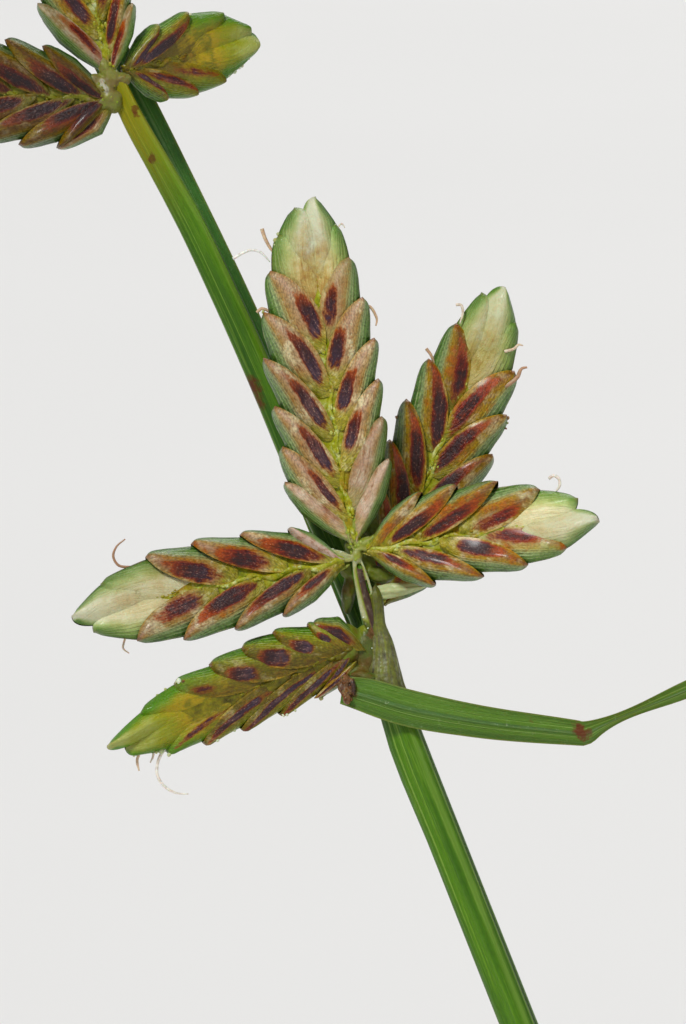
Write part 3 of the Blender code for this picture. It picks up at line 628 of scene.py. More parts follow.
def glume_material():
    """Across each glume: green keel, pale nerves, tan flank, dark patch and thin pale margin.
    Point values: fold is (keel to margin, base to tip, random), tone is (strength of the patch,
    youth, olive), run is (mm from the keel, mm from the base, redness), spot is (middle of the
    patch along the glume, its half-length, its half-width), light is (brightness, middle of the
    patch across the glume, width of the green) and whole is (share of the way out from the
    spikelet's axis, share of the way up it, how stained)."""
    m = Material("glume", roughness=0.40, specular_ior_level=0.28, subsurface_weight=0.15,
                 subsurface_scale=0.0003, coat_weight=0.12, coat_roughness=0.16)
    across, along, chance = m.attribute("fold")
    patch, youth, olive = m.attribute("tone")
    out, up, red = m.attribute("run")
    spot_at, spot_long, spot_wide = m.attribute("spot")
    shade, middle, green_width = m.attribute("light")
    outward, upward, stained = m.attribute("whole")
    where = m.place()
    mottle = m.noise(1.5, where, 4, 0.6) - 0.5
    blotch = m.noise(3.2, where, 3, 0.6) - 0.5
    fine = m.noise(7.0, where, 4, 0.7) - 0.5
    shift = 40 * chance
    streak = m.noise(1.0, m.vector(14 * out, 1.2 * up, shift), 4, 0.6) - 0.5
    uneven_across, uneven_along = across + 0.12 * mottle, along + 0.16 * mottle
    from_keel = uneven_across * m.between(green_width, -1.0, 1.0, 1.35, 0.65)
    flank = m.between(across, 0.20, 0.36)

    # The body from pink-grey through gold to olive.
    green = ((0.0, KEEL_EDGE), (0.06, KEEL_GREEN), (0.17, KEEL_PALE))
    pink = m.ramp(from_keel, (*green, (0.27, TAN), (0.50, PINK), (0.78, TAN), (1.0, GOLD)))
    gold = m.ramp(from_keel, (*green, (0.28, GOLD), (0.50, UMBER), (0.78, GOLD)))
    fresh = ((0.0, KEEL_FRESH), (0.08, OLIVE_GREEN), (0.20, OLIVE_FRESH))
    dull = m.ramp(from_keel, (*fresh, (0.32, OLIVE), (0.60, OLIVE_DARK), (0.9, OLIVE)))
    body = m.mix(m.between(olive, 0.05, 0.65), pink, gold)
    body = m.mix(m.between(olive, 0.60, 1.0), body, dull)
    nerve = m.math("SINE", 2 * math.pi * NERVES * across + 2.6 * fine)
    nerves = m.between(nerve, -0.2, 1.0) * m.between(from_keel, 0.36, 0.16)
    body = m.mix(nerves * m.between(streak, -0.25, 0.2, 0.05, 0.65), body, KEEL_LINE)
    pale = m.between(mottle + 0.6 * blotch, 0.0, 0.18) * (0.75 * flank)
    body = m.mix(pale * m.between(olive, 0.9, 0.2, 0.45, 1.0), body, CREAM)
    dim = m.between(blotch + 0.8 * streak, 0.03, 0.24) * (0.55 * flank)
    body = m.mix(dim, body, m.mix(olive, RUST, UMBER))
    warm = m.between(mottle, -0.02, -0.18) * m.between(red, 0.1, 1.0, 0.1, 0.7)
    body = m.mix(warm * flank, body, ORANGE)
    # Towards the base, where it comes out from under the glume below, the glume turns yellow-green,
    # dark olive on olive spikelets: partly its own colour and partly painted shade.
    base = m.ramp(fine + blotch + 0.5, ((0.3, LOW_GREEN), (0.55, LOW_YELLOW), (0.75, LOW_PALE)))
    base = m.mix(m.between(olive, 0.5, 1.0), base, OLIVE_DARK)
    body = m.mix(m.between(uneven_along, 0.30, 0.08, 0, 0.85), body, base)

    # Pale young glumes, white along the middle of the spikelet and yellow where they begin.
    wide = outward + 0.5 * (mottle + 0.3 * streak)
    young = m.ramp(wide, ((0.36, YOUNG), (0.60, YOUNG_PALE), (0.84, YOUNG_GREEN), (1.0, KEEL_GREEN)))
    young = m.mix(0.35 * nerves, young, KEEL_LINE)
    young = m.mix(m.between(across, 0.06, 0.0), young, KEEL_EDGE)
    blush = m.between(upward, 0.45, 0.28) * m.between(from_keel, 0.18, 0.34)
    worn = m.between(blotch + fine + streak, -0.08, 0.3, 0.0, 0.65)
    young = m.mix(blush, young, m.mix(worn, BLUSH, RUST))
    low = m.between(upward + 0.24 * (mottle + blotch), 0.98, 0.78) * stained
    low = low * m.between(outward, 0.85, 0.25, 0.15, 1.0) * m.between(upward, 0.35, 0.55)
    brown = m.between(mottle + 0.5 * streak, -0.05, 0.22) * stained
    stain = m.mix(brown, STAIN, STAIN_BROWN)
    young = m.mix(low * m.between(mottle + 0.5 * streak, -0.3, 0.2, 0.35, 1.0), young, stain)
    ripeness = upward + 0.5 * (mottle + 0.4 * streak)
    yellow = m.ramp(ripeness, (
        (0.42, OLIVE_DARK), (0.50, OLIVE_GOLD), (0.57, OLIVE), (0.64, OLIVE_GOLD), (0.78, OLIVE_FRESH),
        (0.92, OLIVE_PALE),
    ))
    yellow = m.mix(m.between(outward + 0.4 * blotch, 0.38, 0.8), yellow, OLIVE_GREEN)
    young = m.mix(m.between(olive, 0.45, 0.95, 0.0, 0.95), young, yellow)
    body = m.mix(m.between(youth + 0.8 * mottle, 0.25, 0.8), body, young)

    # The patch, an oval between nerves and margin. One nearer the tip is nearer the margin too.
    side = (uneven_across - middle) / spot_wide
    rise = (uneven_along - spot_at) / spot_long
    oval = abs(side) ** 2.6 + abs(rise * m.between(rise, -0.1, 0.1, 1.12, 0.9)) ** 2.4
    rough = 1.5 * streak + fine + 1.5 * blotch
    depth = 1.0 - (oval + rough) + 1.3 * (patch - 1.0)
    core = m.ramp(depth, ((0.0, FRINGE), (0.25, PATCH_BROWN), (0.60, PATCH_DARK)))
    hot = m.ramp(depth, ((0.40, FRINGE_RED), (0.75, PATCH_BROWN), (1.0, PATCH_DARK)))
    core = m.mix(red * m.between(rise, -0.9, 0.5, 0.35, 1.0), core, hot)
    core = m.mix(m.between(rise, 0.3, 1.0) * m.between(red, 0.0, 1.0, 0.35, 0.9), core, ORANGE)
    # The slate in the lower core of the patch is partly its own purple-grey and partly a painted
    # bluish sheen.
    slate = m.between(depth, 0.2, 0.7) * m.between(rise, 0.6, -0.8, 0, 0.8)
    core = m.mix(slate * m.between(red, 0.9, 0.1), core, PATCH_SLATE)
    core = m.mix(m.between(fine, 0.05, 0.26, 0, 0.45), core, RUST)
    veil = m.between(streak + 0.8 * mottle, -0.06, 0.24) * m.between(red, 1.0, 0.1, 0.08, 0.5)
    core = m.mix(veil, core, VEIL)
    halo = m.between(depth, -0.8, 0.1, 0, 1) * m.between(red, 0.0, 1.0, 0.2, 0.5)
    body = m.mix(halo * m.between(patch, 0.1, 0.6), body, FRINGE)
    body = m.mix(m.between(depth, -0.4, 0.45) * m.between(patch, 0.05, 0.3), body, core)

    # The thin pale margin and the brown tip.
    edge = m.between(across + 0.05 * fine, 0.92, 0.98) * m.between(blotch, -0.15, 0.15, 0.05, 0.45)
    margin = m.mix(m.between(olive, 0.1, 0.5), MARGIN, MARGIN_GOLD)
    body = m.mix(edge * m.between(youth, 0.2, 0.9, 1, 0.1), body, margin)
    tip = m.between(along, 0.9, 0.985) * m.between(across, 0.0, 0.2, 0.35, 1.0)
    body = m.mix(tip * m.between(youth, 0.0, 1.0, 0.8, 0.25), body, TIP)

    # Rows of small cells dot the whole surface; pale pink painted glints sit at their middles.
    dots = m.cells(1.0, m.vector(22 * out, 13 * up, shift))
    dotted = m.between(dots, 0.35, 0.85) * m.between(youth, 0.0, 1.0, 0.36, 0.05)
    body = m.mix(dotted, body, DOT)
    glint_strength = m.between(streak + 0.5 * mottle, -0.15, 0.25, 0.15, 0.75)
    glint = m.between(dots, 0.34, 0.08) * m.between(depth, -0.1, 0.3, 0.12, glint_strength)
    # The brightness darkens the whole glume, partly as painted shade.
    m.colour(m.shaded(m.mix(glint, body, PINK), shade), 1.25, 1.15)
    m.roughness(m.between(fine, -0.3, 0.3, 0.22, 0.48))
    m.bump(0.4 * nerves - 0.22 * dots + 1.6 * m.noise(2.2, where, 3) + streak + fine, 0.036)
    return m.data


def rachilla_material():
    """The zigzag axis between the two ranks, yellow-green and bumpy. Point values: tint is
    (olive, brightness)."""
    m = Material("rachilla", roughness=0.36, specular_ior_level=0.3, subsurface_weight=0.2,
                 subsurface_scale=0.0003)
    olive, shade = m.attribute("tint")[:2]
    where = m.place()
    fine = m.noise(3.6, where, 4, 0.65)
    body = m.ramp(fine, (
        (0.30, srgb(122, 128, 34)), (0.44, srgb(160, 160, 56)), (0.56, srgb(178, 178, 92)),
        (0.70, srgb(214, 216, 168)),
    ))
    dull = m.ramp(fine, (
        (0.30, srgb(84, 74, 20)), (0.50, srgb(118, 112, 30)), (0.72, srgb(150, 140, 60)),
    ))
    body = m.mix(m.between(olive, 0.6, 0.95), body, dull)
    body = m.mix(m.between(m.noise(1.3, where, 2), 0.52, 0.72, 0, 0.6), body, srgb(150, 96, 36))
    # The spikelet's brightness, partly painted shade, darkens the rachilla too.
    m.colour(m.shaded(body, shade), 1.15, 1.1)
    m.bump(fine + 0.5 * m.cells(7.0, where), 0.035)
    return m.data


def grass(m, turn, along, base, deep, pale, lines):
    """Green with soft lengthwise streaks and a few pale lines. turn runs round or across. Gives
    the colour and the broad, streaky, lined and fine patterns in it."""
    broad = m.noise(1.0, m.vector(5.5 * turn, 0.09 * along, 1.0), 3, 0.5)
    streak = m.noise(1.0, m.vector(34 * turn, 0.22 * along, 5.0), 4, 0.6)
    line = m.noise(1.0, m.vector(lines * turn, 0.035 * along, 9.0), 2, 0.4)
    body = m.mix(m.between(broad, 0.35, 0.65), base, deep)
    body = m.mix(m.between(streak, 0.50, 0.72, 0, 0.45), body, pale)
    body = m.mix(m.between(streak, 0.50, 0.28, 0, 0.35), body, deep)
    body = m.mix(m.between(line, 0.58, 0.66, 0, 0.65), body, pale)
    fine = m.cells(1.0, m.vector(110 * turn, 5 * along))
    body = m.mix(m.between(fine, 0.35, 0.8, 0, 0.14), body, CELL_GREEN)
    return body, broad, streak, line, fine


def spots(m, where, body, rows, colour):
    """Mixes the colour in around points, given as head millimetres with a radius and strength."""
    wobble = 0.6 * (m.noise(4.0, where, 4, 0.7) - 0.5)
    for *point, radius, strength in rows:
        inputs = {0: where, 1: tuple(head_points(point))}
        away = m.value("ShaderNodeVectorMath", inputs, "Value", operation="DISTANCE")
        near = m.between(away + wobble, radius, 0.35 * radius, 0, strength)
        body = m.mix(near, body, colour)
    return body


# Brown spots: the point in the head's frame, radius in mm and strength.
STEM_SPOTS = (
    (-3.03, 4.74, -1.2, 0.42, 0.9), (-2.85, 4.30, -1.2, 0.36, 0.8), (-6.28, 12.66, 0.1, 0.12, 0.7),
    (-6.24, 12.52, 0.1, 0.09, 0.6), (-5.82, 11.30, -0.2, 0.15, 0.7),
    (1.34, -6.29, 0.4, 0.16, 0.8), (1.38, -6.45, 0.4, 0.12, 0.7), (1.73, -7.14, 0.45, 0.12, 0.5),
    (-2.6, 3.75, -1.1, 0.26, 0.6),
)
BRACT_SPOTS = (
    (-0.25, -3.95, 0.9, 0.40, 1.0), (-0.1, -3.6, 0.9, 0.26, 0.8), (6.40, -4.98, 0.9, 0.26, 0.9),
    (6.52, -5.16, 0.9, 0.26, 0.9), (6.30, -4.82, 0.9, 0.20, 0.6), (3.0, -4.35, 1.0, 0.14, 0.5),
)


def stem_material(name, base, deep, pale, warm_from):
    """A three-angled green stem, yellower beyond warm_from mm.
    Point values: rib is (turn round the stem, length in mm, ridge)."""
    m = Material(name, roughness=0.38, specular_ior_level=0.25, subsurface_weight=0.10,
                 subsurface_scale=0.0004)
    turn, along, ridge = m.attribute("rib")
    where = m.place()
    body, broad, streak, line, fine = grass(m, turn, along, base, deep, pale, 20)
    # The corners are painted paler: a painted highlight along the stem's three ridges.
    body = m.mix(0.45 * ridge, body, pale)
    warm = m.between(along + 3 * broad, warm_from, warm_from + 4.5, 0, 0.8)
    body = m.mix(warm * m.between(streak, 0.3, 0.7, 1.0, 0.6), body, srgb(176, 160, 64))
    speck = m.between(m.noise(1.0, m.vector(22 * turn, along, 3.0), 2), 0.76, 0.8)
    body = m.mix(0.7 * speck, body, srgb(120, 88, 36))
    body = spots(m, where, body, STEM_SPOTS, srgb(112, 58, 26))
    m.colour(body, 1.3, 1.08)
    m.roughness(m.between(streak, 0.2, 0.8, 0.30, 0.46))
    m.bump(0.8 * streak + 1.2 * line - 0.25 * fine, 0.035)
    return m.data


def blade_material(name, base, deep, pale, worn):
    """A folded grassy blade, dry beyond the share worn of its length. Point values: vein is
    (left to right, length in mm, share of it)."""
    m = Material(name, roughness=0.40, specular_ior_level=0.25, subsurface_weight=0.10,
                 subsurface_scale=0.0004)
    across, along, share = m.attribute("vein")
    where = m.place()
    body, _, streak, line, fine = grass(m, 0.5 * across, along, base, deep, pale, 16)
    middle = m.between(abs(across), 0.16, 0.03)
    body = m.mix(0.45 * middle, body, srgb(104, 134, 98))
    edge = m.between(abs(across), 0.88, 0.98)
    body = m.mix(0.5 * edge, body, srgb(160, 168, 96))
    dry = m.between(share + 0.35 * (m.noise(0.25, where, 3) - 0.5), worn, worn + 0.08)
    body = m.mix(dry, body, srgb(166, 120, 70))
    speck = m.between(m.noise(1.1, where, 3, 0.7), 0.69, 0.74)
    body = m.mix(0.5 * speck, body, srgb(128, 100, 44))
    # Whitish specks along the midrib, partly wax and partly painted highlights.
    wax_and_glints = m.between(m.noise(4.5, where, 3, 0.7), 0.6, 0.74) * m.between(middle, 0.0, 0.5, 0.12, 0.8)
    body = m.mix(wax_and_glints, body, srgb(206, 214, 190))
    body = spots(m, where, body, BRACT_SPOTS, srgb(128, 74, 42))
    m.colour(body, 1.3)
    m.roughness(m.between(streak, 0.2, 0.8, 0.32, 0.50))
    m.bump(0.9 * streak + 0.8 * line - 0.2 * fine, 0.04)
    return m.data


def thread_material():
    """Dried stigmas and filaments, white to orange-brown."""
    m = Material("thread", roughness=0.5, subsurface_weight=0.2, subsurface_scale=0.0003)
    fine = m.noise(9.0, m.place(), 3)
    body = m.ramp(m.attribute("hue")[0], (
        (0.0, srgb(236, 234, 224)), (0.5, srgb(214, 186, 150)), (1.0, srgb(132, 84, 50)),
    ))
    m.colour(m.mix(m.between(fine, 0.4, 0.7, 0, 0.4), body, srgb(120, 92, 62)))
    return m.data


def clay_material():
    """Unglazed terracotta with turning marks, pale salt bloom and darker towards the bottom."""
    m = Material("clay", roughness=0.86)
    where = m.place()
    height = m.value("ShaderNodeSeparateXYZ", {0: where}, 2)
    broad = m.noise(0.035, where, 4, 0.6)
    fine = m.noise(0.9, where, 5, 0.7)
    body = m.ramp(broad, (
        (0.30, srgb(172, 92, 58)), (0.5, srgb(192, 108, 70)), (0.72, srgb(206, 128, 88)),
    ))
    body = m.mix(m.between(fine, 0.35, 0.75, 0, 0.35), body, srgb(150, 78, 50))
    bloom = 0.5 * m.between(m.noise(0.045, where, 6, 0.72, 0.15), 0.5, 0.78)
    body = m.mix(bloom, body, srgb(226, 200, 176))
    # Darker towards the bottom of the pot, below an uneven line.
    darker_below = 0.35 * m.between(height + 26 * broad, 40, 8)
    body = m.mix(darker_below, body, srgb(120, 66, 46))
    body = m.mix(m.between(m.noise(2.6, where, 2), 0.70, 0.76, 0, 0.6), body, srgb(96, 60, 46))
    m.colour(body)
    m.roughness(m.between(broad, 0.3, 0.7, 0.78, 0.92))
    rings = m.noise(1.0, m.vector(0.0, 0.0, 0.9 * height), 3, 0.6)
    m.bump(1.6 * rings + 0.9 * fine, 0.16)
    return m.data


def soil_material():
    """Dark moist loam with paler crumbs."""
    m = Material("soil", roughness=0.92)
    where = m.place()
    fine = m.noise(0.8, where, 5, 0.7)
    crumb = m.cells(0.55, where)
    body = m.ramp(fine, ((0.3, srgb(38, 28, 22)), (0.55, srgb(66, 48, 36)), (0.75, srgb(104, 80, 60))))
    body = m.mix(m.between(m.noise(0.22, where, 3), 0.5, 0.7, 0, 0.5), body, srgb(84, 62, 44))
    m.colour(m.mix(m.between(crumb, 0.6, 0.1, 0, 0.35), body, srgb(120, 98, 76)))
    m.bump(fine - 0.8 * crumb, 0.7)
    return m.data


def floor_material():
    """A pale floor, barely mottled."""
    m = Material("floor", roughness=0.7)
    tint = m.noise(0.002, m.place(), 2)
    m.colour(m.mix(tint, (0.80, 0.79, 0.77, 1), (0.83, 0.82, 0.80, 1)))
    return m.data


# Spikelets

def bezier(points, t):
    """Points at the shares t of a curve from the first point to the last, drawn to the others."""
    a, b, c, d = (np.array(point, float) for point in points)
    t = t[:, None]
    return (1 - t) ** 3 * a + 3 * (1 - t) ** 2 * t * b + 3 * (1 - t) * t * t * c + t ** 3 * d


def outline(tips, y):
    """Half-width of one side of a spikelet at the heights y, drawn through its tips."""
    out, up = np.array(tips).T
    shares, widths = np.array(FOOT_OUTLINE)
    return np.interp(y, [*(shares * up[0]), *up], [*(widths * out[0]), *out])


def glume(tips, k, length, depth, detail, rounded, sharp=0.3, over=0.0, lift=0.0, flush=0.0, full=0.0):
    """The k-th glume of one side, boat-shaped, with its keel out at +x: x, y and z, and how far
    each point is from keel to margin and from base to tip, first as shares and then in mm."""
    columns, rows = detail
    out, up = tips[k]
    along = 1 - (1 - np.linspace(0, 1, rows)) ** 1.15
    y = up - length * (1 - along)
    bulge = np.interp(along, *KEEL_BULGE)
    if k == 0:
        bulge = np.maximum(bulge, np.interp(along, *LOWEST_KEEL_BULGE))
    keel_x = outline(tips, y) * (bulge + (1 - bulge) * full)
    blunt = np.clip((along - 0.90) / 0.10, 0, 1) ** 2 * (1 - sharp)
    keel_x += (out - keel_x) * np.clip((along - 0.93) / 0.07, 0, 1) - 0.10 * blunt * min(1, out)
    keel = np.stack([keel_x, y - up + length - 0.03 * blunt * length / GLUME_LENGTH], axis=1)
    side = float(outline(tips, up - 0.5 * length))
    straight = np.interp(out / 1.5, (0.3, 1.0), (0.8, 0.0)) * 0.2
    margin = bezier((
        (0.0, 0.02 * length),
        (straight * out - over * side, 0.42 * length),
        ((0.42 + straight + 0.26 * rounded) * out - over * side, (0.76 + 0.25 * rounded) * length),
        keel[-1],
    ), along)
    face = np.linspace(-1, 1, 2 * columns + 1)
    away = np.abs(face)[None]
    flat = keel[:, None] + (margin - keel)[:, None] * (away ** 0.9)[..., None]
    along = along[:, None]
    rounding = np.sin(np.minimum(1, away / 0.50) * math.pi / 2) ** 0.8
    drop = np.interp(along, *MARGIN_DROP) + flush
    rounding = rounding - drop * np.clip((away - 0.5) / 0.5, 0, 1) ** 1.7
    phase = rng.random(3) * 6.28
    wave = 0.06 * np.sin(4.6 * along + 3.1 * away + phase[0])
    wave = (wave + 0.04 * np.sin(9 * along - 5 * away + phase[1])) * (1 - along ** 6)
    z = np.sign(face) * rounding * (np.interp(along, *GLUME_SWELL) + wave) * depth
    x = flat[..., 0] + lift * np.clip((along - 0.7) / 0.3, 0, 1) ** 2
    span = np.linalg.norm(margin - keel, axis=1)[:, None]
    return x, flat[..., 1] + up - length, z, away, along, away * span, along * length


def bent(points, curve):
    """Points of a straight spikelet after its axis is curved in its own plane."""
    if abs(curve) < 1e-6:
        return points
    x, y, z = points[..., 0], points[..., 1], points[..., 2]
    angle = curve * y
    return stack((np.cos(angle) - 1) / curve + np.cos(angle) * x,
                 np.sin(angle) / curve + np.sin(angle) * x, z)


class Spikelet:
    """One spikelet of a head, which adds its glumes to sheets and its rachilla to axis."""

    def __init__(self, sheets, axis, place, tips, bend, detail, name, fold=0):
        self.sheets, self.axis, self.tips, self.detail = sheets, axis, tips, detail
        self.red, self.olive, self.ripe, self.shade, self.stain = TONES[name]
        self.length = tips[1][-1][1]
        self.curve = math.radians(bend) / self.length
        self.turn, self.shift = np.array(place)[:3, :3], np.array(place)[:3, 3] / MM
        self.fold = math.radians(fold)
        odd = ODD_GLUMES.get(name, {})
        for row in zip((-1, 1), tips, PATCHES.get(name, PLAIN_PATCHES), FORMS.get(name, PLAIN_FORMS)):
            self.rank(odd, *row)
        if fold:
            self.flank()
        self.rachilla()

    def placed(self, points):
        return bent(points, self.curve) @ self.turn.T + self.shift

    def folded(self, side, x, y, z):
        """Points of one rank, turned back about the axis by the fold."""
        ahead, aside = math.cos(self.fold), math.sin(self.fold)
        return self.placed(stack(side * (x * ahead + z * aside), y, z * ahead - x * aside))

    def rank(self, odd, side, tips, spot, form):
        """Adds the glumes of one side, each in its own shape and colours."""
        rounded, full, flat, wide, cross = form
        ripe = self.ripe
        for k, (_, up) in enumerate(tips):
            share = up / self.length
            patch = np.interp(share, (0, 0.2, ripe, ripe + 0.14), (0.8, 1, 1, 0))
            youth = np.interp(share, (ripe - 0.02, ripe + 0.18), (0, 1))
            patch, youth, *bright = odd.get((side, k), (patch, youth))
            # The spikelet's brightness, partly painted shade, times the glume's own brightness.
            brightness = self.shade * (bright[0] if bright else 1) * (1 + rng.normal(0, 0.06))
            size = GLUME_LENGTH * np.interp(share, (0, 0.3, 0.85, 1), (0.8, 1, 1, 0.92))
            size = min(size * (1 + rng.normal(0, 0.02)), up + 0.12)
            depth = GLUME_DEPTH * np.interp(share, *GLUME_DEPTHS)
            over = max(cross, np.interp(share, (0.55, 0.8, 0.95), (0.0, 0.25, 0.60)))
            sharp = np.clip(rng.normal(0.45 if side < 0 else 0.2, 0.25), 0, 1)
            lift = abs(rng.normal(0, 0.03))
            x, y, z, away, along, out, rise = glume(
                tips, k, size, depth, self.detail, rounded + 0.35 * youth, sharp, over, lift,
                max(flat, 0.5 * youth), full)
            chance = rng.random()
            patch *= 1 + rng.normal(0, 0.08)
            spot_across, *patch_size = spot * (1 + rng.normal(0, (0.02, 0.03, 0.10, 0.08)))
            half = np.maximum(LEAST_HALF_WIDTH, outline(tips, y))
            self.sheets.grid(
                self.folded(side, x, y, z)[:, ::-side], fold=stack(away, along, chance),
                tone=(patch, youth, self.olive),
                run=stack(out, rise, self.red * (0.6 + 0.8 * rng.random())),
                spot=patch_size, light=(brightness, spot_across, wide),
                whole=stack(np.abs(x) / half, y / self.length, self.stain))

    def flank(self):
        """Adds the flat body behind the glumes of a folded spikelet."""
        y = np.linspace(0.15, 0.93 * self.length, 24)[:, None]
        t = circle(16)
        for side, tips in zip((-1, 1), self.tips):
            half = outline(tips, y)
            x = 0.5 * (1 + np.cos(t)) * 0.86 * half - 0.12
            youth = np.interp(y / self.length, (self.ripe - 0.1, self.ripe + 0.1), (0.2, 1))
            whole = stack(np.abs(x) / np.maximum(LEAST_HALF_WIDTH, half), y / self.length, self.stain)
            self.sheets.grid(self.folded(side, x, y, 0.05 * np.sin(t)), wrap=True, caps=True,
                             fold=(0.6, 0.5, 0.5), tone=stack(0, youth, self.olive),
                             run=stack(x, y, self.red), spot=(0.4, 0.2, 0.2),
                             light=(self.shade, 0.7, 0), whole=whole)

    def rachilla(self):
        """Adds the zigzag axis, its blisters where it is seen close, and the core behind it."""
        ups = [up for _, up in self.tips[1]]
        pitch = (ups[-1] - ups[0]) / (len(ups) - 1)
        top = (self.ripe if self.olive > 0.9 else 0.86) * self.length
        y = np.linspace(-0.1, top, 60)[:, None]
        thin = np.interp(y / top, *RACHILLA_THICKNESS)
        sway = 0.07 * np.cos(2 * math.pi * (y - ups[0]) / pitch)
        half = (0.14 + 0.03 * np.cos(4 * math.pi * y / pitch)) * thin
        around = circle(12)
        bumps = 1 + 0.10 * np.sin(y * 9 + 2 * np.sin(3 * around)) * np.sin(2 * around + y * 4)
        ring = stack(sway + half * np.cos(around) * bumps, y,
                     GLUME_DEPTH * 0.38 * thin * np.sin(around) * bumps)
        tint = (self.olive, self.shade, 0)
        self.axis.grid(self.placed(ring), wrap=True, caps=True, tint=tint)
        if self.detail == GLUME_DETAIL:
            self.beads(top, pitch, tint)
        y = np.linspace(0.1, 0.9 * self.length, 20)[:, None]
        wide = 0.5 * np.minimum(outline(self.tips[0], y), outline(self.tips[1], y))
        core = stack(wide * np.cos(around), y, 0.12 * np.sin(around))
        self.axis.grid(self.placed(core), wrap=True, caps=True, tint=tint)

    def beads(self, top, pitch, tint):
        """Adds the small blisters along both flat sides of the rachilla."""
        up = np.linspace(-0.5, 0.5, 6)[:, None] * math.pi
        around = circle(8)
        ball = stack(np.cos(up) * np.cos(around), np.sin(up), np.cos(up) * np.sin(around))
        for _ in range(int(13 * top / pitch)):
            y = 0.96 * top * rng.random()
            thin = 1 - 0.5 * y / top
            centre = (rng.normal(0, 0.085) * thin, y, 0.20 * thin * rng.choice((-1, 1)))
            size = rng.uniform(0.03, 0.075) * thin * np.array((1, rng.uniform(1.0, 2.2), 0.9))
            self.axis.grid(self.placed(ball * size + centre), wrap=True, tint=tint)


def spikelet_place(name):
    """The placement of one of the tallest head's spikelets, in metres."""
    foot, angle, tilt, roll = SPIKELETS[name][:4]
    return (
        HEAD_FRAME @ Matrix.Translation(Vector(foot) * MM)
        @ Matrix.Rotation(math.radians(angle - 90), 4, "Z")
        @ Matrix.Rotation(math.radians(tilt), 4, "X")
        @ Matrix.Rotation(math.radians(roll), 4, "Y")
    )


def main_spikelets(glumes, rachilla):
    """The spikelets of the tallest head."""
    for name, (*_, bend, fold) in SPIKELETS.items():
        sheets, axis = Sheets(*GLUME_VALUES), Sheets("tint")
        Spikelet(sheets, axis, spikelet_place(name), TIPS[name], bend, GLUME_DETAIL, name, fold)
        sheets.build(f"{name}_glumes", glumes, "spikelet", [name])
        axis.build(f"{name}_rachilla", rachilla, "spikelet")


def lone_glumes(material):
    """The glumes that are placed one by one."""
    sheets = Sheets(*GLUME_VALUES)
    for foot, angle, side, tips, depth, deep, tone, patch, red, shade in LONE_GLUMES:
        x, y, z, away, along, out, rise = glume(
            tips, len(tips) - 1, tips[-1][1], deep, GLUME_DETAIL, rounded=0.9)
        turn = np.array(Matrix.Rotation(math.radians(angle - 90), 3, "Z"))
        points = head_points(stack(side * x, y, z) @ turn.T + photo_point(*foot, depth))
        sheets.grid(points[:, ::-side], fold=stack(away, along, 0.3), tone=tone,
                    run=stack(out, rise, red), spot=patch[1:], light=(shade, patch[0], 0),
                    whole=(0.5, 0.5, 0))
    sheets.build("lone_glumes", material, "spikelet")


def small_heads(glumes, rachilla, pith):
    """The heads of the other culms, each a few spikelets on a knot of pith."""
    for number, *growth in CULMS:
        line = small_culm_line(*growth)
        foot, up = line[-1], unit(line[-1] - line[-2])
        basis = (
            Matrix.Translation(Vector(foot + up * (HEAD_CORE_RADIUS + 0.3)) * MM)
            @ Vector(up).to_track_quat("Z", "Y").to_matrix().to_4x4()
        )
        sheets, axis = Sheets(*GLUME_VALUES), Sheets("tint")
        for k in range(HEAD_SPIKELETS):
            inner, outer = HEAD_SPIKELET_LEANS
            lean = math.radians(inner + (outer - inner) * (k / (HEAD_SPIKELETS - 1)) ** 0.7)
            size = HEAD_SPIKELET_LENGTH * (1 - 0.07 * ((k * 3 + number) % 4))
            place = (
                basis @ Matrix.Rotation(GOLDEN_TURN * k + number, 4, "Z")
                @ Matrix.Rotation(-lean, 4, "X") @ Matrix.Rotation(math.radians(90), 4, "X")
            )
            scale = size / SMALL_TIPS[1][-1][1]
            tips = [[(out, high * scale) for out, high in row] for row in SMALL_TIPS]
            Spikelet(sheets, axis, place, tips, SMALL_BEND, SMALL_GLUME_DETAIL, "small")
        sheets.build(f"head_{number}_glumes", glumes, "spikelet", [f"head_{number}"])
        axis.build(f"head_{number}_rachillas", rachilla, "spikelet")
        core = Sheets("hue")
        for low, high, count, reaches, radii, hue in HEAD_CORE:
            reach = np.linspace(low, high, count)
            tube(core, foot + reach[:, None] * up, np.interp(reach, reaches, radii), hue, 20)
        core.build(f"head_{number}_core", pith, "culm_green")


# Stems

def stem(name, material, node, line, radii, across, sides=STEM_SIDES, turn=0):
    """A three-angled ribbed stem along the line, with a radius at each point."""
    angle = circle(sides)
    corner = np.cos(3 * (angle + math.radians(turn)))
    shape = STEM_FLAT + (1 - STEM_FLAT) * corner + STEM_RIB * np.cos(18 * angle)
    points = rings(line, across, angle, shape[:, None] * radii[:, None, None])
    rib = stack(angle / (2 * math.pi), lengths(line)[:, None], np.clip(corner, 0, 1) ** 6)
    sheets = Sheets("rib")
    sheets.grid(points, wrap=True, caps=True, rib=rib)
    sheets.build(name, material, "culm_green", [node])


def soil_height(x, y):
    """The height of the soil's surface in the CAD."""
    out = np.hypot(x, y)
    dome = SOIL_DOME * np.maximum(0, 1 - (out / inner_radius(SOIL_EDGE_HEIGHT)) ** 2)
    loose = np.clip((out - CROWN_RADIUS) / LUMPY_BEYOND, 0, 1)
    return SOIL_EDGE_HEIGHT + dome + SOIL_LUMP * loose * np.sin(x / 3.1 + 1.3) * np.cos(y / 2.7 - 0.4)


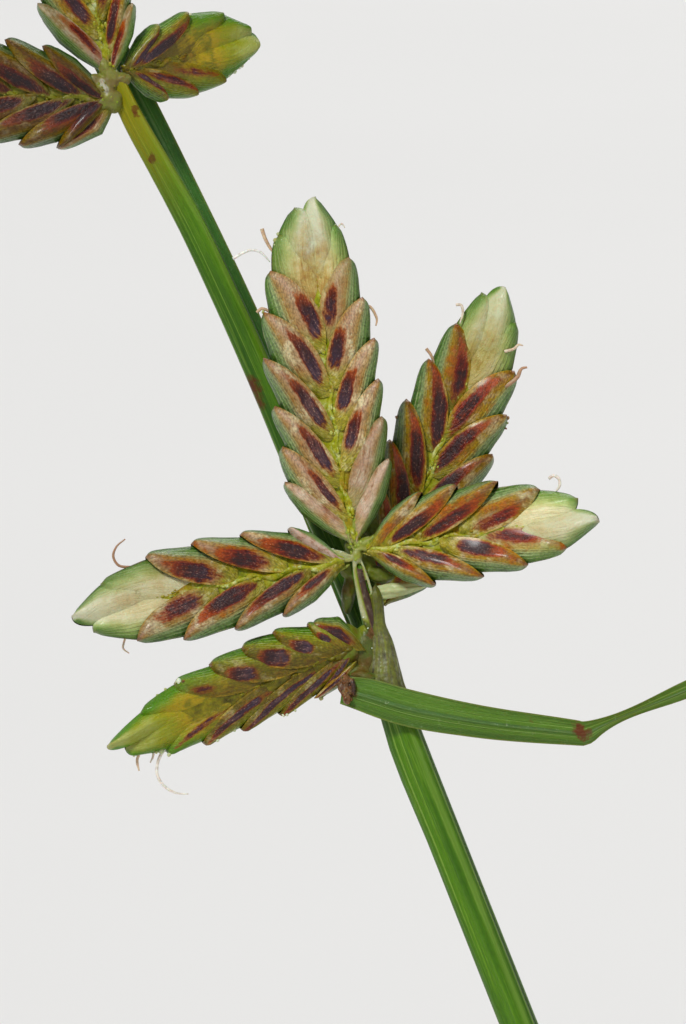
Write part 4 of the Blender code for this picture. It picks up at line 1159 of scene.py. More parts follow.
def foot_on_soil(azimuth, radius):
    """Where a stem or leaf of the CAD begins, just above the soil."""
    x, y = radius * math.cos(math.radians(azimuth)), radius * math.sin(math.radians(azimuth))
    return np.array([x, y, soil_height(x, y) + ROOT_GAP])


def small_culm_line(azimuth, lean_foot, lean_top, length):
    """The points that one of the other culms goes through."""
    foot = foot_on_soil(azimuth, CULM_CROWN_RADIUS)
    return arch(foot, azimuth, lean_foot, lean_top, length, CULM_KNOTS)


def rooted(line):
    """The line with its foot drawn down into the soil."""
    line[0] -= ROOT_DEPTH * unit(line[1] - line[0])
    return line


def resampled(line, values, count):
    """The line and the values at its given points, smoothed to count points."""
    fine = smooth_line(np.column_stack([line, values]), count)
    return fine[:, :3], fine[:, 3]


def main_stems(culm_green, ray_green):
    """The tallest culm and its ray."""
    x, y = CULM_FOOT
    given = np.vstack([[x, y, soil_height(x, y) + ROOT_GAP], CULM_BEND, head_points(CULM_TOP)])
    line, radii = resampled(given, CULM_RADII, CULM_POINTS)
    across = head_direction(1, 0, 0)
    stem("main_culm", culm_green, "culm_main", rooted(line), radii, across, turn=CULM_TURN)
    line, radii = resampled(head_points(RAY), RAY_RADII, RAY_POINTS)
    stem("main_ray", ray_green, "ray_main", line, radii, across, turn=RAY_TURN)


def small_culms(culm_green):
    """The stems of the other culms."""
    for number, *growth in CULMS:
        line = rooted(smooth_line(small_culm_line(*growth), SMALL_CULM_POINTS))
        radii = np.linspace(SMALL_CULM_RADIUS, SMALL_CULM_TOP_RADIUS, SMALL_CULM_POINTS)
        name = f"small_culm_{number}"
        stem(name, culm_green, f"culm_{number}", line, radii, (1, 0, 0), SMALL_STEM_SIDES)


# Leaves and bracts

def blade(node, material, line, widths, thickness, across, columns):
    """A folded strip that opens upwards, with the midrib as its keel, in place of the node."""
    side, up = frames(line, across)
    span = np.linspace(-1, 1, 2 * columns + 1)
    rise = LEAF_FOLD * (1 - (1 - np.abs(span)) ** 1.6) ** 0.9
    thin = thickness * (0.35 + 0.65 * (1 - np.abs(span) ** 3))
    half = widths[:, None] / 2
    there_and_back = np.concatenate([span, span[::-1]])
    high = np.concatenate([rise, rise[::-1]]) * half
    high = high + np.concatenate([0 * span, thin[::-1]]) * np.minimum(1, half * 1.6)
    wide = there_and_back * half
    points = line[:, None] + side[:, None] * wide[..., None] + up[:, None] * high[..., None]
    along = lengths(line)[:, None]
    sheets = Sheets("vein")
    sheets.grid(points, wrap=True, caps=True, vein=stack(there_and_back, along, along / along[-1]))
    sheets.build(f"{node}_blade", material, "leaf_green", [node])


def grown_blade(node, green, line, width, thickness, azimuth, columns):
    """A blade of a leaf's outline along the line, which leans out towards the azimuth."""
    shares = np.linspace(0, 1, len(line))
    narrowing = 1 - 1.95 * np.maximum(0, shares - 0.35) ** 1.6
    widths = width * np.minimum(1, 0.8 + shares) * np.maximum(0.03, narrowing)
    angle = math.radians(azimuth + DRIFT / 2)
    blade(node, green, line, widths, thickness, (math.sin(angle), -math.cos(angle), 0), columns)


def main_bracts(front_green, back_green):
    """The bracts of the tallest head."""
    rows = (
        ("bract_front", BRACT_FRONT, BRACT_FRONT_WIDTHS, head_direction(0, -1, 0), front_green),
        ("bract_back", BRACT_BACK, BRACT_BACK_WIDTHS, head_direction(1, 0, 0), back_green),
    )
    for node, points, widths, across, material in rows:
        line, wide = resampled(head_points(points), widths, BRACT_POINTS)
        blade(node, material, line, wide, BRACT_THICKNESS, across, MAIN_BRACT_COLUMNS)


def small_bracts(green):
    """The bracts under the heads of the other culms."""
    for number, azimuth, *growth in CULMS:
        line = small_culm_line(azimuth, *growth)
        top, ahead = line[-1], unit(line[-1] - line[-2])
        for name, turn, size, width, lean, lean_tip in HEAD_BRACTS:
            turn += azimuth + 15 * (number % 3)
            outwards = np.array([math.cos(math.radians(turn)), math.sin(math.radians(turn)), 0])
            outwards = unit(outwards - (outwards @ ahead) * ahead)
            foot = top - ahead * HEAD_BRACT_DROP + outwards * (SMALL_CULM_TOP_RADIUS + 0.1)
            knots = arch(foot, turn, lean, lean_tip, size, BRACT_KNOTS, 1.0)
            grown_blade(f"bract_{number}_{name}", green, smooth_line(knots, SMALL_BRACT_POINTS),
                        width, BRACT_THICKNESS, turn, BRACT_COLUMNS)


def leaves(green):
    """The basal leaves."""
    for i, (azimuth, lean_foot, lean_tip, length, width) in enumerate(LEAVES, 1):
        foot = foot_on_soil(azimuth, LEAF_CROWN_RADIUS)
        knots = arch(foot, azimuth, lean_foot, lean_tip, length, LEAF_KNOTS)
        grown_blade(f"leaf_{i}", green, rooted(smooth_line(knots, LEAF_POINTS)), width,
                    LEAF_THICKNESS, azimuth, LEAF_COLUMNS)


# The pot and its soil

def inner_radius(height):
    """The inner radius of the pot at a height."""
    heights = (POT_FLOOR + POT_FILLET, INNER_LEDGE, POT_HEIGHT - RIM_ROUND)
    radii = (POT_BASE_RADIUS - POT_WALL + 0.6, POT_SHOULDER_RADIUS - POT_WALL, INNER_TOP_RADIUS)
    return float(np.interp(height, heights, radii))


def arc(x, y, radius, start, stop):
    """Points of a rounded corner of the pot's outline, in degrees from the right."""
    angles = np.radians(np.linspace(start, stop, 7))
    return [(x + radius * math.cos(t), y + radius * math.sin(t)) for t in angles]


def pot(material):
    """The turned pot, rounder than its CAD solid, with its drain holes cut through."""
    under, shoulder = POT_HEIGHT - COLLAR_HEIGHT, POT_HEIGHT - RIM_ROUND
    foot = POT_BASE_RADIUS - POT_WALL
    profile = [
        (0, POT_FLOOR), (foot - 2, POT_FLOOR), (foot - 0.4, POT_FLOOR + 0.6),
        (foot + 0.6, POT_FLOOR + POT_FILLET), (POT_SHOULDER_RADIUS - POT_WALL, INNER_LEDGE),
        *arc(INNER_TOP_RADIUS + RIM_ROUND, shoulder, RIM_ROUND, 180, 90),
        *arc(COLLAR_RADIUS - RIM_ROUND, shoulder, RIM_ROUND, 90, 0),
        *arc(COLLAR_RADIUS - 2.0, under + EDGE_ROUND, EDGE_ROUND, 0, -90),
        (POT_SHOULDER_RADIUS + 0.6, under - 0.1), (POT_SHOULDER_RADIUS, under - 0.8),
        *arc(POT_BASE_RADIUS - 0.8, EDGE_ROUND, EDGE_ROUND, 0, -90), (0, 0),
    ]
    mesh = bpy.data.meshes.new("pot_body")
    points = [(radius * MM, 0, height * MM) for radius, height in profile]
    mesh.from_pydata(points, [(i, i + 1) for i in range(len(points) - 1)], [])
    obj = placed("pot_body", mesh)
    turn = obj.modifiers.new("turn", "SCREW")
    turn.steps = turn.render_steps = POT_STEPS
    turn.use_merge_vertices = True
    turn.merge_threshold = 0.05 * MM
    cutters = []
    for i in range(DRAIN_HOLES):
        angle = 2 * math.pi * (i + 0.5) / DRAIN_HOLES
        bm = bmesh.new()
        bmesh.ops.create_cone(bm, cap_ends=True, segments=32, radius1=DRAIN_RADIUS * MM,
                              radius2=DRAIN_RADIUS * MM, depth=4 * POT_FLOOR * MM)
        cut_mesh = bpy.data.meshes.new("drain_cut")
        bm.to_mesh(cut_mesh)
        bm.free()
        cutter = placed("drain_cut", cut_mesh)
        cutter.location = (DRAIN_CIRCLE * MM * math.cos(angle), DRAIN_CIRCLE * MM * math.sin(angle), 0)
        obj.modifiers.new(f"drain_{i}", "BOOLEAN").object = cutter
        cutters.append(cutter)
    made = modified(obj)
    obj.modifiers.clear()
    obj.data = made
    for cutter in cutters:
        bpy.data.objects.remove(cutter)
    made.shade_smooth()
    made.set_sharp_from_angle(angle=math.radians(35))
    made.materials.clear()
    made.materials.append(material)
    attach(obj, "root")
    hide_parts("pot")


def crumbs(sheets, count):
    """Scatters small uneven lumps over the soil."""
    bm = bmesh.new()
    bmesh.ops.create_icosphere(bm, subdivisions=1, radius=1)
    bm.verts.ensure_lookup_table()
    ball = np.array([v.co[:] for v in bm.verts])
    faces = [[v.index for v in f.verts] for f in bm.faces]
    bm.free()
    edge = inner_radius(SOIL_EDGE_HEIGHT) - 2
    for _ in range(count):
        out, angle = edge * math.sqrt(rng.random()), 2 * math.pi * rng.random()
        size = 0.35 + 1.1 * rng.random() ** 2.5
        x, y = out * math.cos(angle), out * math.sin(angle)
        uneven = size * (1 + rng.normal(0, 0.16, (len(ball), 1)))
        lump = ball * uneven * (1, 0.8 + 0.4 * rng.random(), 0.75)
        turn = np.array(Matrix.Rotation(6.28 * rng.random(), 3, Vector(rng.normal(size=3))))
        sheets.mesh(lump @ turn.T + (x, y, soil_height(x, y) + size * 0.15), faces)


def soil(material):
    """The lumpy surface of the soil and the plug under it, with loose crumbs on top."""
    angle = circle(120)
    out = (inner_radius(SOIL_EDGE_HEIGHT) - 0.4) * np.linspace(0.02, 1, 50)[:, None]
    x, y = out * np.cos(angle), out * np.sin(angle)
    z = soil_height(x, y)
    for scale, size in SOIL_RELIEF:
        turns = rng.random(4) * 6.28
        along = x / scale + turns[0] + 1.7 * np.sin(y / scale / 1.3 + turns[1])
        aside = y / scale + turns[2] + 1.7 * np.sin(x / scale / 1.4 + turns[3])
        z = z + size * np.sin(along) * np.sin(aside)
    levels = (
        (POT_SHOULDER_RADIUS - POT_WALL - 0.5, INNER_LEDGE),
        (POT_BASE_RADIUS - POT_WALL - 0.2, POT_FLOOR + POT_FILLET),
        (POT_BASE_RADIUS - POT_WALL - 3, POT_FLOOR + 0.3),
    )
    wall = [stack(radius * np.cos(angle), radius * np.sin(angle), height) for radius, height in levels]
    sheets = Sheets()
    sheets.grid(np.concatenate([stack(x, y, z), np.array(wall)])[::-1], wrap=True, caps=True)
    crumbs(sheets, SOIL_CRUMBS)
    sheets.build("soil_bed", material, "soil", ["soil"])


# The stalk and the foot of the head

# The knot that the spikelets grow from, as rounded lumps that run together: colour, middle in
# pixels of the photograph, depth, half-sizes in mm and turn in the head's plane.
# Its dark greens, from about 0.6 to 0.76, are partly the stalk's own green and partly painted shade
# where the knot lies under the spikelets and at the foot of the bract.
KNOT = (
    (0.38, 357, 556, 0.18, (0.15, 0.24, 0.22), 0),
    (0.42, 366, 544, 0.18, (0.30, 0.20, 0.20), 25),
    (0.66, 357, 545, -0.12, (0.34, 0.42, 0.30), 0),
    (0.60, 372, 527, -0.40, (0.22, 0.30, 0.22), 0),
    (0.28, 333, 558, 0.18, (0.44, 0.24, 0.20), 4),
    (0.55, 358, 567, -0.30, (0.52, 0.46, 0.34), 0),
    (0.62, 379, 575, -0.16, (0.44, 0.24, 0.24), -12),
    (0.72, 349, 592, -0.36, (0.20, 0.66, 0.24), -6),
    (0.62, 361, 580, 0.00, (0.19, 0.28, 0.20), -8),
    (0.62, 367, 600, 0.00, (0.19, 0.34, 0.20), -12),
    (0.62, 372, 620, 0.02, (0.19, 0.34, 0.20), -12),
    (0.66, 360, 671, 0.14, (0.34, 0.18, 0.30), 0),
    (0.70, 364, 676, 0.40, (0.42, 0.16, 0.30), -8),
    (0.58, 346, 645, 0.10, (0.50, 0.62, 0.44), 0),
    (0.72, 366, 652, 0.02, (0.34, 0.78, 0.40), 4),
    (0.64, 345, 668, 0.06, (0.44, 0.34, 0.38), 0),
    (0.62, 336, 651, 0.30, (0.50, 0.22, 0.22), 10),
    (0.90, 345, 679, 0.80, (0.15, 0.16, 0.16), 0),
    (0.93, 342, 687, 0.80, (0.12, 0.18, 0.16), 20),
    (0.90, 346, 690, 0.82, (0.14, 0.18, 0.16), 0),
    (0.88, 347, 698, 0.82, (0.12, 0.17, 0.16), 8),
    (0.97, 353, 686, 0.82, (0.08, 0.26, 0.14), 6),
)

# Strands over the knot, along pixels of the photograph: colour, depth and radius in mm.
STRANDS = (
    (0.20, 0.34, 0.045, ((354, 550), (366, 549), (378, 554), (392, 563))),
    (0.24, 0.28, 0.040, ((341, 512), (344, 522), (348, 535), (353, 549))),
    (0.34, 0.20, 0.085, ((353, 498), (354, 514), (354, 530), (357, 548))),
    (0.24, 0.24, 0.045, ((357, 522), (356, 534), (357, 546))),
    (0.36, 0.30, 0.090, ((398, 527), (384, 533), (372, 539), (360, 549))),
    (0.30, 0.34, 0.050, ((390, 538), (378, 543), (364, 551))),
    (0.16, 0.28, 0.055, ((316, 545), (328, 549), (340, 553), (351, 556))),
    (0.24, 0.30, 0.050, ((320, 556), (331, 559), (342, 561), (352, 560))),
    (0.34, 0.22, 0.050, ((334, 571), (342, 569), (350, 564))),
    (1.15, 0.24, 0.110, ((359, 569), (362, 584), (367, 600), (371, 612), (375, 628))),
    (0.11, 0.24, 0.090, ((354, 562), (357, 578), (360, 596), (363, 611), (368, 627))),
    (0.11, 0.26, 0.045, ((361, 560), (366, 574), (370, 586), (373, 598))),
    (0.82, 0.28, 0.070, ((364, 622), (371, 630), (377, 639))),
)
UPPER_KNOT = (
    (0.48, 104, 88, 0.00, (0.32, 0.34, 0.26), 25),
    (0.50, 94, 82, -0.02, (0.34, 0.24, 0.22), 10),
    (0.52, 92, 94, -0.02, (0.36, 0.20, 0.20), -8),
    (0.44, 112, 78, -0.02, (0.24, 0.34, 0.24), 20),
    (0.46, 121, 80, -0.06, (0.30, 0.22, 0.22), 15),
    (0.44, 105, 68, 0.00, (0.18, 0.36, 0.18), 8),
    (0.52, 112, 100, -0.06, (0.32, 0.40, 0.34), 22),
    (0.56, 103, 103, -0.04, (0.26, 0.22, 0.24), 20),
)
UPPER_STRANDS = (
    (-0.15, 0.28, 0.040, ((102, 80), (104, 85), (107, 92))),
    (0.38, 0.16, 0.045, ((106, 60), (107, 70), (109, 82), (112, 94))),
    (0.44, 0.14, 0.050, ((88, 88), (95, 90), (103, 96))),
    (0.44, 0.14, 0.045, ((126, 76), (119, 80), (112, 88))),
)
KNOT_VOXEL, HUE_BLEND, STRAND_REACH = 0.032, 0.022, 0.06
# The depth, in mm, from which the knot's front is looked for.
IN_FRONT = 5

# Blisters on the knot: colour, middle and spread in pixels of the photograph, and their number.
BLISTERS = (
    (0.30, (352, 530), (3, 9), 12), (0.26, (334, 556), (9, 5), 14), (0.30, (372, 541), (8, 3), 12),
    (0.30, (352, 552), (4, 4), 8), (0.86, (345, 689), (3, 9), 40),
    (0.42, (104, 92), (6, 8), 14),
)

# A thin glassy scale under the right spikelet: foot and tip as pixels of the photograph, width,
# depth and bulge in mm, and colour.
STALK_SCALE = ((372, 594), (431, 584), 0.44, 0.10, 0.15, 0.15)

# White flecks on the knot, as pixels of the photograph with a size in mm.
FLECKS = (
    (363.5, 617, 0.030), (368, 628, 0.030), (355, 534, 0.030), (341, 552, 0.030), (333, 549, 0.025),
    (351, 545, 0.025), (346, 622, 0.030), (372, 648, 0.025),
)

# Dry crumbs at the edges of the spikelets: side, mm up the spikelet, mm beyond the edge, mm
# towards the viewer, size in mm and colour.
EDGE_CRUMBS = {
    "spikelet_low_left": (
        (1, 4.92, 0.05, 0.1, 0.075, 0.02), (1, 5.0, 0.12, 0.0, 0.05, 0.06),
        (1, 5.35, 0.04, -0.3, 0.05, 0.2), (1, 5.62, 0.03, -0.3, 0.045, 0.2),
        (1, 4.8, 0.02, 0.2, 0.06, 0.88), (-1, 6.15, 0.05, 0.1, 0.095, 0.14),
        (-1, 6.3, 0.08, 0.1, 0.07, 0.2), (-1, 6.02, 0.06, 0.0, 0.065, 0.1),
        (-1, 6.9, 0.06, 0.0, 0.045, 0.06), (-1, 4.5, 0.0, 0.2, 0.05, 0.06),
        (-1, 3.9, 0.0, 0.2, 0.05, 0.1), (-1, 2.62, 0.02, 0.2, 0.055, 0.04),
        (-1, 2.38, 0.01, 0.2, 0.065, 0.04), (-1, 2.1, 0.0, 0.2, 0.05, 0.1),
        (-1, 1.35, 0.0, 0.2, 0.06, 0.16),
    ),
    "spikelet_tall": (
        (-1, 8.86, 0.1, 0.0, 0.05, 0.14), (-1, 8.7, 0.05, 0.1, 0.06, 0.2),
        (-1, 8.55, 0.02, 0.1, 0.045, 0.1), (-1, 6.76, 0.04, 0.0, 0.05, 0.2),
    ),
    "spikelet_upper_right": (
        (1, 6.3, 0.1, 0.0, 0.065, 0.86), (1, 6.12, 0.12, 0.0, 0.055, 0.2),
        (1, 5.95, 0.06, 0.0, 0.05, 0.86),
    ),
    "upper_spikelet_right": (
        (1, 3.6, 0.06, 0.1, 0.06, 0.04), (1, 3.74, 0.03, 0.1, 0.055, 0.02),
        (1, 3.9, 0.05, 0.0, 0.06, 0.06), (1, 3.38, 0.02, 0.1, 0.045, 0.06),
        (1, 4.16, 0.02, 0.0, 0.045, 0.2), (-1, 2.55, 0.02, 0.0, 0.045, 0.06),
        (1, 2.26, 0.03, 0.0, 0.045, 0.2), (-1, 3.66, 0.02, 0.0, 0.045, 0.08),
    ),
}

# The papery sheath: height, left and right edge, in mm of the head's frame.
SHEATH = (
    (-4.60, 0.34, 1.84), (-4.20, 0.30, 1.66), (-3.86, 0.28, 1.46), (-3.40, 0.32, 1.32),
    (-2.92, 0.40, 1.20), (-2.50, 0.44, 1.08), (-2.24, 0.46, 0.96), (-2.05, 0.46, 0.88),
    (-1.75, 0.44, 0.84), (-1.40, 0.42, 0.80), (-1.15, 0.40, 0.72), (-1.02, 0.44, 0.60),
)


def stalk_material():
    """The knot, sheath and crumbs. Point values: hue is (colour, from 0 for white over green to 1
    for purple-brown, how dim, how dry)."""
    m = Material("stalk", roughness=0.45, specular_ior_level=0.3, subsurface_weight=0.2,
                 subsurface_scale=0.0003)
    hue, dim, dry = m.attribute("hue")
    where = m.place()
    fine = m.noise(4.5, where, 4, 0.65) - 0.5
    body = m.ramp(hue + 0.12 * fine, (
        (0.0, srgb(226, 228, 208)), (0.12, srgb(192, 198, 160)), (0.22, srgb(172, 178, 120)),
        (0.30, srgb(160, 170, 86)), (0.50, srgb(132, 146, 50)), (0.62, srgb(108, 124, 44)),
        (0.76, srgb(76, 94, 34)), (0.84, srgb(132, 88, 50)), (0.91, srgb(148, 114, 86)),
        (0.96, srgb(64, 44, 48)),
    ))
    body = m.mix(m.between(fine, 0.05, 0.25, 0, 0.3), body, srgb(206, 200, 160))
    brown = m.between(m.noise(1.4, where, 3), 0.55, 0.72, 0, 0.6) * m.between(hue, 0.1, 0.5)
    body = m.mix(brown, body, srgb(120, 78, 36))
    crust = m.between(hue, 0.78, 0.84) * m.between(m.noise(6.0, where, 4, 0.7), 0.56, 0.4)
    body = m.mix(0.5 * crust, body, srgb(74, 46, 36))
    body = m.mix(dry + dry * (2 * fine), body, srgb(158, 142, 112))
    m.colour(m.shaded(body, 1.0 - (dim + dim * (2 * fine))), 1.2, 1.1)
    m.roughness(m.between(fine, -0.2, 0.2, 0.28, 0.6))
    m.bump(fine + 0.5 * m.cells(9.0, where), 0.03)
    return m.data


def tube(sheets, line, radii, hue, sides=10):
    """Adds a fine tube along the line, in the scene's millimetres."""
    points = rings(line, head_direction(0.3, 0.2, 1), circle(sides), radii[:, None, None])
    sheets.grid(points, wrap=True, caps=True, hue=(hue, 0, 0))


def lump(sheets, centre, sizes, turn, hue, detail=(8, 10)):
    """Adds an uneven rounded lump of the head's frame."""
    up = np.linspace(-0.5, 0.5, detail[0])[1:-1, None] * math.pi
    around = circle(detail[1])
    wobble = 1 + 0.07 * np.sin(3 * around + 4 * up) + 0.05 * np.sin(5 * around - 7 * up)
    x = sizes[0] * np.cos(up) * np.cos(around) * wobble
    z = sizes[2] * np.cos(up) * np.sin(around) * wobble
    y = sizes[1] * np.sin(up)
    t = math.radians(turn)
    points = stack(centre[0] + x * math.cos(t) - y * math.sin(t),
                   centre[1] + x * math.sin(t) + y * math.cos(t), centre[2] + z)
    sheets.grid(head_points(points), wrap=True, caps=True, hue=(hue, 0, 0))


def scale(sheets, foot, tip, width, depth, bulge, hue):
    """Adds a thin pointed scale between two pixels of the photograph."""
    foot, tip = np.array(photo_point(*foot, depth)), np.array(photo_point(*tip, depth))
    ahead = tip - foot
    side = unit(np.array((-ahead[1], ahead[0], 0)))
    t = np.linspace(0, 1, 20)[:, None]
    s = np.linspace(-1, 1, 13)
    half = width / 2 * np.interp(t, (0, 0.08, 0.3, 0.6, 0.85, 1), (0.7, 0.92, 1, 0.8, 0.45, 0.05))
    rise = bulge * (1 - s * s) * np.sin(np.pi * (0.12 + 0.84 * t)) + 0.02 * np.sin(6 * s + 5 * t)
    across = np.concatenate([s, s[::-1]])
    height = np.concatenate([rise, rise[:, ::-1] - 0.03], axis=1)
    points = foot + ahead * t[..., None] + side * (across * half)[..., None]
    points[..., 2] += height
    sheets.grid(head_points(points), wrap=True, caps=True, hue=(hue, 0, 0))


def knot(name, material, rows, strands, dim, dry):
    """Lumps and strands run together into one smooth mass, dimmer and drier by the given shares,
    with blisters and flecks on the side seen in the photograph."""
    rough = Sheets("hue")
    balls = []
    for hue, x, y, depth, sizes, turn in rows:
        lump(rough, photo_point(x, y, depth), sizes, turn, hue, (17, 24))
        balls.append((*head_points(photo_point(x, y, depth)), np.mean(sizes), hue))
    for hue, depth, radius, pixels in strands:
        line = head_points(smooth_line([photo_point(x, y, depth) for x, y in pixels], 24))
        ends = np.interp(np.linspace(0, 1, 24), (0, 0.2, 0.8, 1), (0.6, 1, 1, 0.8))
        tube(rough, line, radius * ends, hue)
        balls += [(*point, radius + STRAND_REACH, hue) for point in line]
    obj = rough.build(f"{name}_rough", material, "culm_green")
    remesh = obj.modifiers.new("join", "REMESH")
    remesh.mode, remesh.voxel_size = "VOXEL", KNOT_VOXEL * MM
    smooth = obj.modifiers.new("smooth", "SMOOTH")
    smooth.factor, smooth.iterations = 0.5, 2
    made = modified(obj)
    bpy.data.objects.remove(obj)

    # Each point takes the hue of the nearest lump or strand, blended with that of others close by.
    points = np.array([v.co[:] for v in made.vertices]) / MM
    faces = [tuple(face.vertices) for face in made.polygons]
    balls = np.array(balls)
    away = np.linalg.norm(points[:, None] - balls[:, :3], axis=2) - balls[:, 3]
    weight = np.exp((away.min(axis=1, keepdims=True) - away) / HUE_BLEND)
    sheets = Sheets("hue")
    sheets.mesh(points, faces, hue=stack((weight @ balls[:, 4]) / weight.sum(axis=1), dim, dry))
    tree = BVHTree.FromPolygons(points.tolist(), faces)
    inwards = -head_direction(0, 0, 1)

    def surface(x, y):
        """The knot's front in the head's frame at a pixel of the photograph, if it is there."""
        start = head_points(photo_point(x, y, IN_FRONT))
        hit = tree.ray_cast(Vector(start), Vector(inwards))[0]
        return hit and photo_point(x, y, IN_FRONT - (np.array(hit) - start) @ inwards)

    for hue, (x, y), (wide, high), count in BLISTERS:
        for _ in range(count):
            at = surface(x + rng.normal(0, wide), y + rng.normal(0, high))
            size = rng.uniform(0.02, 0.05) * np.array((1, rng.uniform(1, 1.6), 0.6))
            turn, hue_here = 180 * rng.random(), hue + rng.normal(0, 0.04)
            if at:
                lump(sheets, at, size, turn, hue_here)
    for x, y, size in FLECKS:
        at = surface(x, y)
        if at:
            lump(sheets, at, (size, 0.7 * size, 0.5 * size), 7 * x, 0.0)
    sheets.build(name, material, "culm_green")


def stalk(material):
    """A glassy scale and the papery sheath round the stalk."""
    sheets = Sheets("hue")
    scale(sheets, *STALK_SCALE)
    edges = smooth_line(SHEATH, 60)
    y, left, right = edges[:, :1], edges[:, 1:2], edges[:, 2:]
    around = circle(90)
    veins = np.sin(17 * around + 0.5 * y) + 0.6 * np.sin(29 * around + 2)
    blots = np.sin(5 * around + 4 * y) * np.sin(3 * around - 6 * y + 1)
    flutes = 1 + 0.02 * np.sin(9 * around + 3 * y) + 0.010 * veins
    low = np.interp(y, (-4.6, -3.2, -2.4, -1.9, -1.0), (0.20, 0.0, 0.0, 0.14, 0.26))
    half = (right - left) / 2
    x = (left + right) / 2 + half * np.cos(around) * flutes
    forward = np.interp(y, (-2.7, -2.1), (0.03, 0.14))
    z = forward + np.minimum(1.16 * half, 0.62) * np.sin(around) * flutes
    rim = 0.12 * np.linspace(0, 1, 60)[:, None] ** 6 * np.cos(around - 0.4)
    hue = stack(0.24 + 0.05 * veins + 0.09 * blots + low, 0.48 - 0.06 * veins - 0.05 * blots, 0.25)
    sheets.grid(head_points(stack(x, y + rim, z)), wrap=True, hue=hue)
    sheets.build("stalk", material, "culm_green")


# Threads

# Dried stigmas and filaments: colour, radius in mm, pixels of the photograph and depth in mm.
THREADS = {
    "spikelet_tall": (
        (0.0, 0.028, ((233, 259), (243, 253), (252, 250), (260, 252), (270, 262)), 0.05),
        (0.55, 0.035, ((262, 229), (265, 238), (269, 246), (276, 256)), 0.15),
        (0.65, 0.03, ((257, 313), (262, 309), (268, 311), (276, 322)), 0.3),
        (0.6, 0.03, ((360, 306), (370, 307), (375, 314), (377, 320), (376, 326)), 0.1),
        (0.2, 0.02, ((333, 232), (338, 227), (342, 224), (345, 228)), 0.1),
    ),
    "spikelet_upper_right": (
        (0.3, 0.025, ((457, 303), (462, 303), (464, 309), (461, 322)), -1.5),
        (0.7, 0.03, ((427, 347), (431, 352), (436, 364)), -1.6),
        (0.4, 0.03, ((506, 350), (516, 347), (521, 343), (525, 344)), -1.6),
        (0.8, 0.045, ((500, 388), (512, 382), (519, 376), (524, 367), (529, 366)), -1.5),
        (0.75, 0.03, ((396, 417), (404, 414), (415, 411), (425, 409)), -1.5),
    ),
    "spikelet_right": (
        (0.15, 0.03, ((547, 479), (552, 476), (557, 479), (558, 485), (552, 494)), 1.4),
    ),
    "spikelet_left": (
        (0.85, 0.028, ((150, 564), (130, 567), (119, 565), (114, 556), (117, 547), (126, 539)), 0.5),
        (0.3, 0.022, ((130, 630), (125, 641), (124, 648), (130, 653)), 0.5),
    ),
    "spikelet_low_left": (
        (0.1, 0.03, ((168, 744), (159, 760), (158, 774), (166, 786), (177, 792), (189, 793)), 0.6),
        (0.45, 0.03, ((142, 748), (138, 760), (140, 770)), 0.6),
        (0.25, 0.025, ((152, 744), (154, 755), (151, 762)), 0.6),
    ),
}


def edge_crumbs(material):
    """Dry crumbs, moved onto the glumes, which have to be there already."""
    for name, rows in EDGE_CRUMBS.items():
        mesh = bpy.data.objects[f"{name}_glumes"].data
        faces = [face.vertices for face in mesh.polygons]
        tree = BVHTree.FromPolygons([v.co for v in mesh.vertices], faces)
        curve = math.radians(SPIKELETS[name][4]) / TIPS[name][1][-1][1]
        sheets = Sheets("hue")
        for side, up, beyond, front, size, hue in rows:
            out = float(outline(TIPS[name][(side + 1) // 2], up)) + beyond
            point = spikelet_place(name) @ Vector(bent(np.array((side * out, up, front)), curve) * MM)
            centre = np.array(HEAD_FRAME.inverted() @ tree.find_nearest(point)[0]) / MM
            lump(sheets, centre, size * rng.uniform(0.6, 1.3, 3), 180 * rng.random(), hue)
        sheets.build(f"{name}_crumbs", material, "spikelet")


def threads(material):
    """Dried stigmas and filaments, each a fine tapering tube."""
    for name, rows in THREADS.items():
        sheets = Sheets("hue")
        for hue, radius, pixels, depth in rows:
            line = smooth_line(head_points([photo_point(x, y, depth) for x, y in pixels]), 30)
            taper = np.interp(np.linspace(0, 1, 30), (0, 0.7, 1), (1.25, 1, 0.5))
            tube(sheets, line, 1.3 * radius * taper, hue)
        sheets.build(f"{name}_threads", material, "spikelet")


# Floor, light and camera

FLOOR_RADIUS = 40
# Name, azimuth, elevation, strength and spread, in degrees. Azimuth 0 stands in front of the
# head, 90 to its right.
LIGHTS = (("key", -32, 48, 2.5, 12), ("fill", 55, 22, 0.45, 40), ("rim", 170, 35, 0.6, 25))
SKY, SKY_STRENGTH = (0.95, 0.97, 1.0, 1), 0.25


def floor(material):
    """A round floor, far wider than the view."""
    bm = bmesh.new()
    bmesh.ops.create_circle(bm, cap_ends=True, segments=96, radius=FLOOR_RADIUS)
    mesh = bpy.data.meshes.new("floor")
    bm.to_mesh(mesh)
    bm.free()
    mesh.materials.append(material)
    obj = placed("floor", mesh)


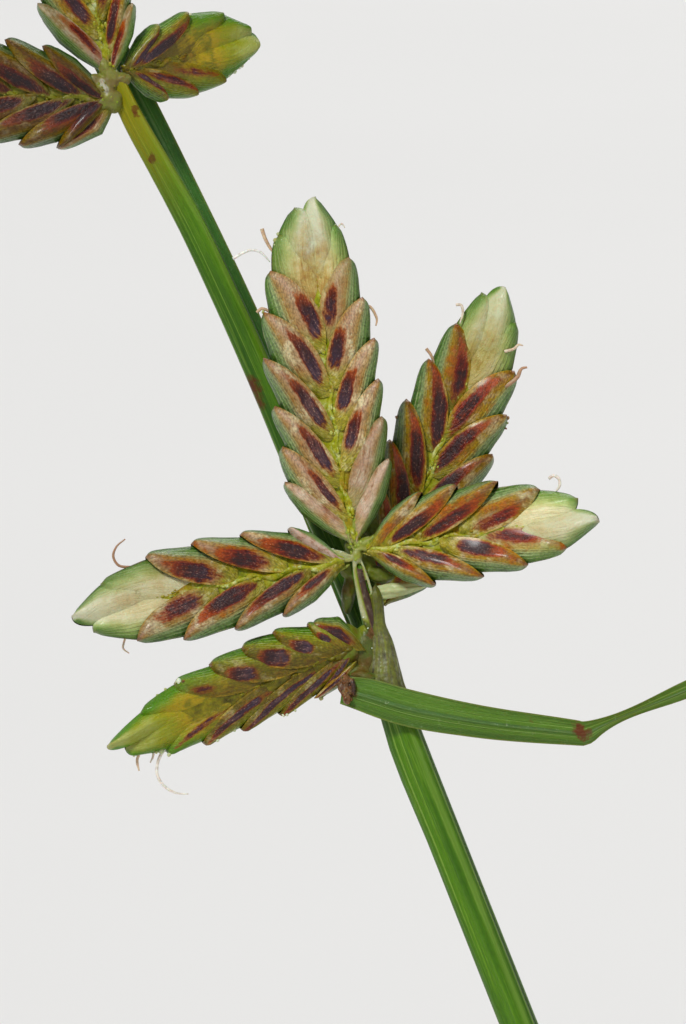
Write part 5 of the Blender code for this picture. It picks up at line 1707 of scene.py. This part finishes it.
def lights():
    """Soft far lamps, and a dim sky."""
    for name, azimuth, elevation, strength, spread in LIGHTS:
        data = bpy.data.lights.new(name, "SUN")
        data.angle = math.radians(spread)
        data.energy = strength
        a, e = math.radians(azimuth), math.radians(elevation)
        back = Vector((math.sin(a) * math.cos(e), -math.cos(a) * math.cos(e), math.sin(e)))
        placed(name, data).rotation_euler = back.to_track_quat("Z", "Y").to_euler()
    world = bpy.data.worlds.new("studio")
    bpy.context.scene.world = world
    world.use_nodes = True
    sky = world.node_tree.nodes["Background"].inputs
    sky["Color"].default_value = SKY
    sky["Strength"].default_value = SKY_STRENGTH
    bpy.context.scene.view_settings.view_transform = "Standard"


def camera():
    """Frames the tallest head as the photograph does."""
    data = bpy.data.cameras.new("camera")
    data.lens = LENS
    data.sensor_width = SENSOR
    data.clip_start, data.clip_end = 0.005, 200
    distance = FRAME_HEIGHT / PIXELS_A_MM * MM * LENS / SENSOR
    middle = Vector(FRAME_MIDDLE) * MM + Vector((0, 0, distance))
    obj = placed("camera", data)
    obj.matrix_world = HEAD_FRAME @ Matrix.Translation(middle)
    bpy.context.scene.camera = obj


# A length, in mm, that no stem reaches.
NOWHERE = 9999


def main():
    glumes, rachilla = glume_material(), rachilla_material()
    pale, dull = srgb(160, 184, 110), srgb(128, 160, 104)
    culm_green = stem_material("culm_green", srgb(104, 146, 40), srgb(78, 120, 30), pale, NOWHERE)
    ray_green = stem_material("ray_green", srgb(104, 144, 42), srgb(72, 112, 34), pale, 16)
    front_green = blade_material("bract_green", srgb(112, 148, 54), srgb(92, 126, 48), pale, 0.97)
    # The back bract gets its own bluer copy of the bract colours, raised as painted light against the
    # shadow that the ray casts on it.
    back_green = blade_material("bract_back_green", srgb(88, 138, 60), srgb(70, 118, 52), dull, 0.95)
    leaf_green = blade_material("leaf_green", srgb(84, 128, 38), srgb(60, 100, 30), pale, 0.9)
    main_spikelets(glumes, rachilla)
    lone_glumes(glumes)
    pith = stalk_material()
    small_heads(glumes, rachilla, pith)
    main_stems(culm_green, ray_green)
    small_culms(culm_green)
    main_bracts(front_green, back_green)
    small_bracts(leaf_green)
    leaves(leaf_green)
    stalk(pith)
    knot("knot", pith, KNOT, STRANDS, 0.10, 0.15)
    knot("upper_knot", pith, UPPER_KNOT, UPPER_STRANDS, 0.20, 0.38)
    threads(thread_material())
    edge_crumbs(pith)
    pot(clay_material())
    soil(soil_material())
    floor(floor_material())
    lights()
    camera()


main()
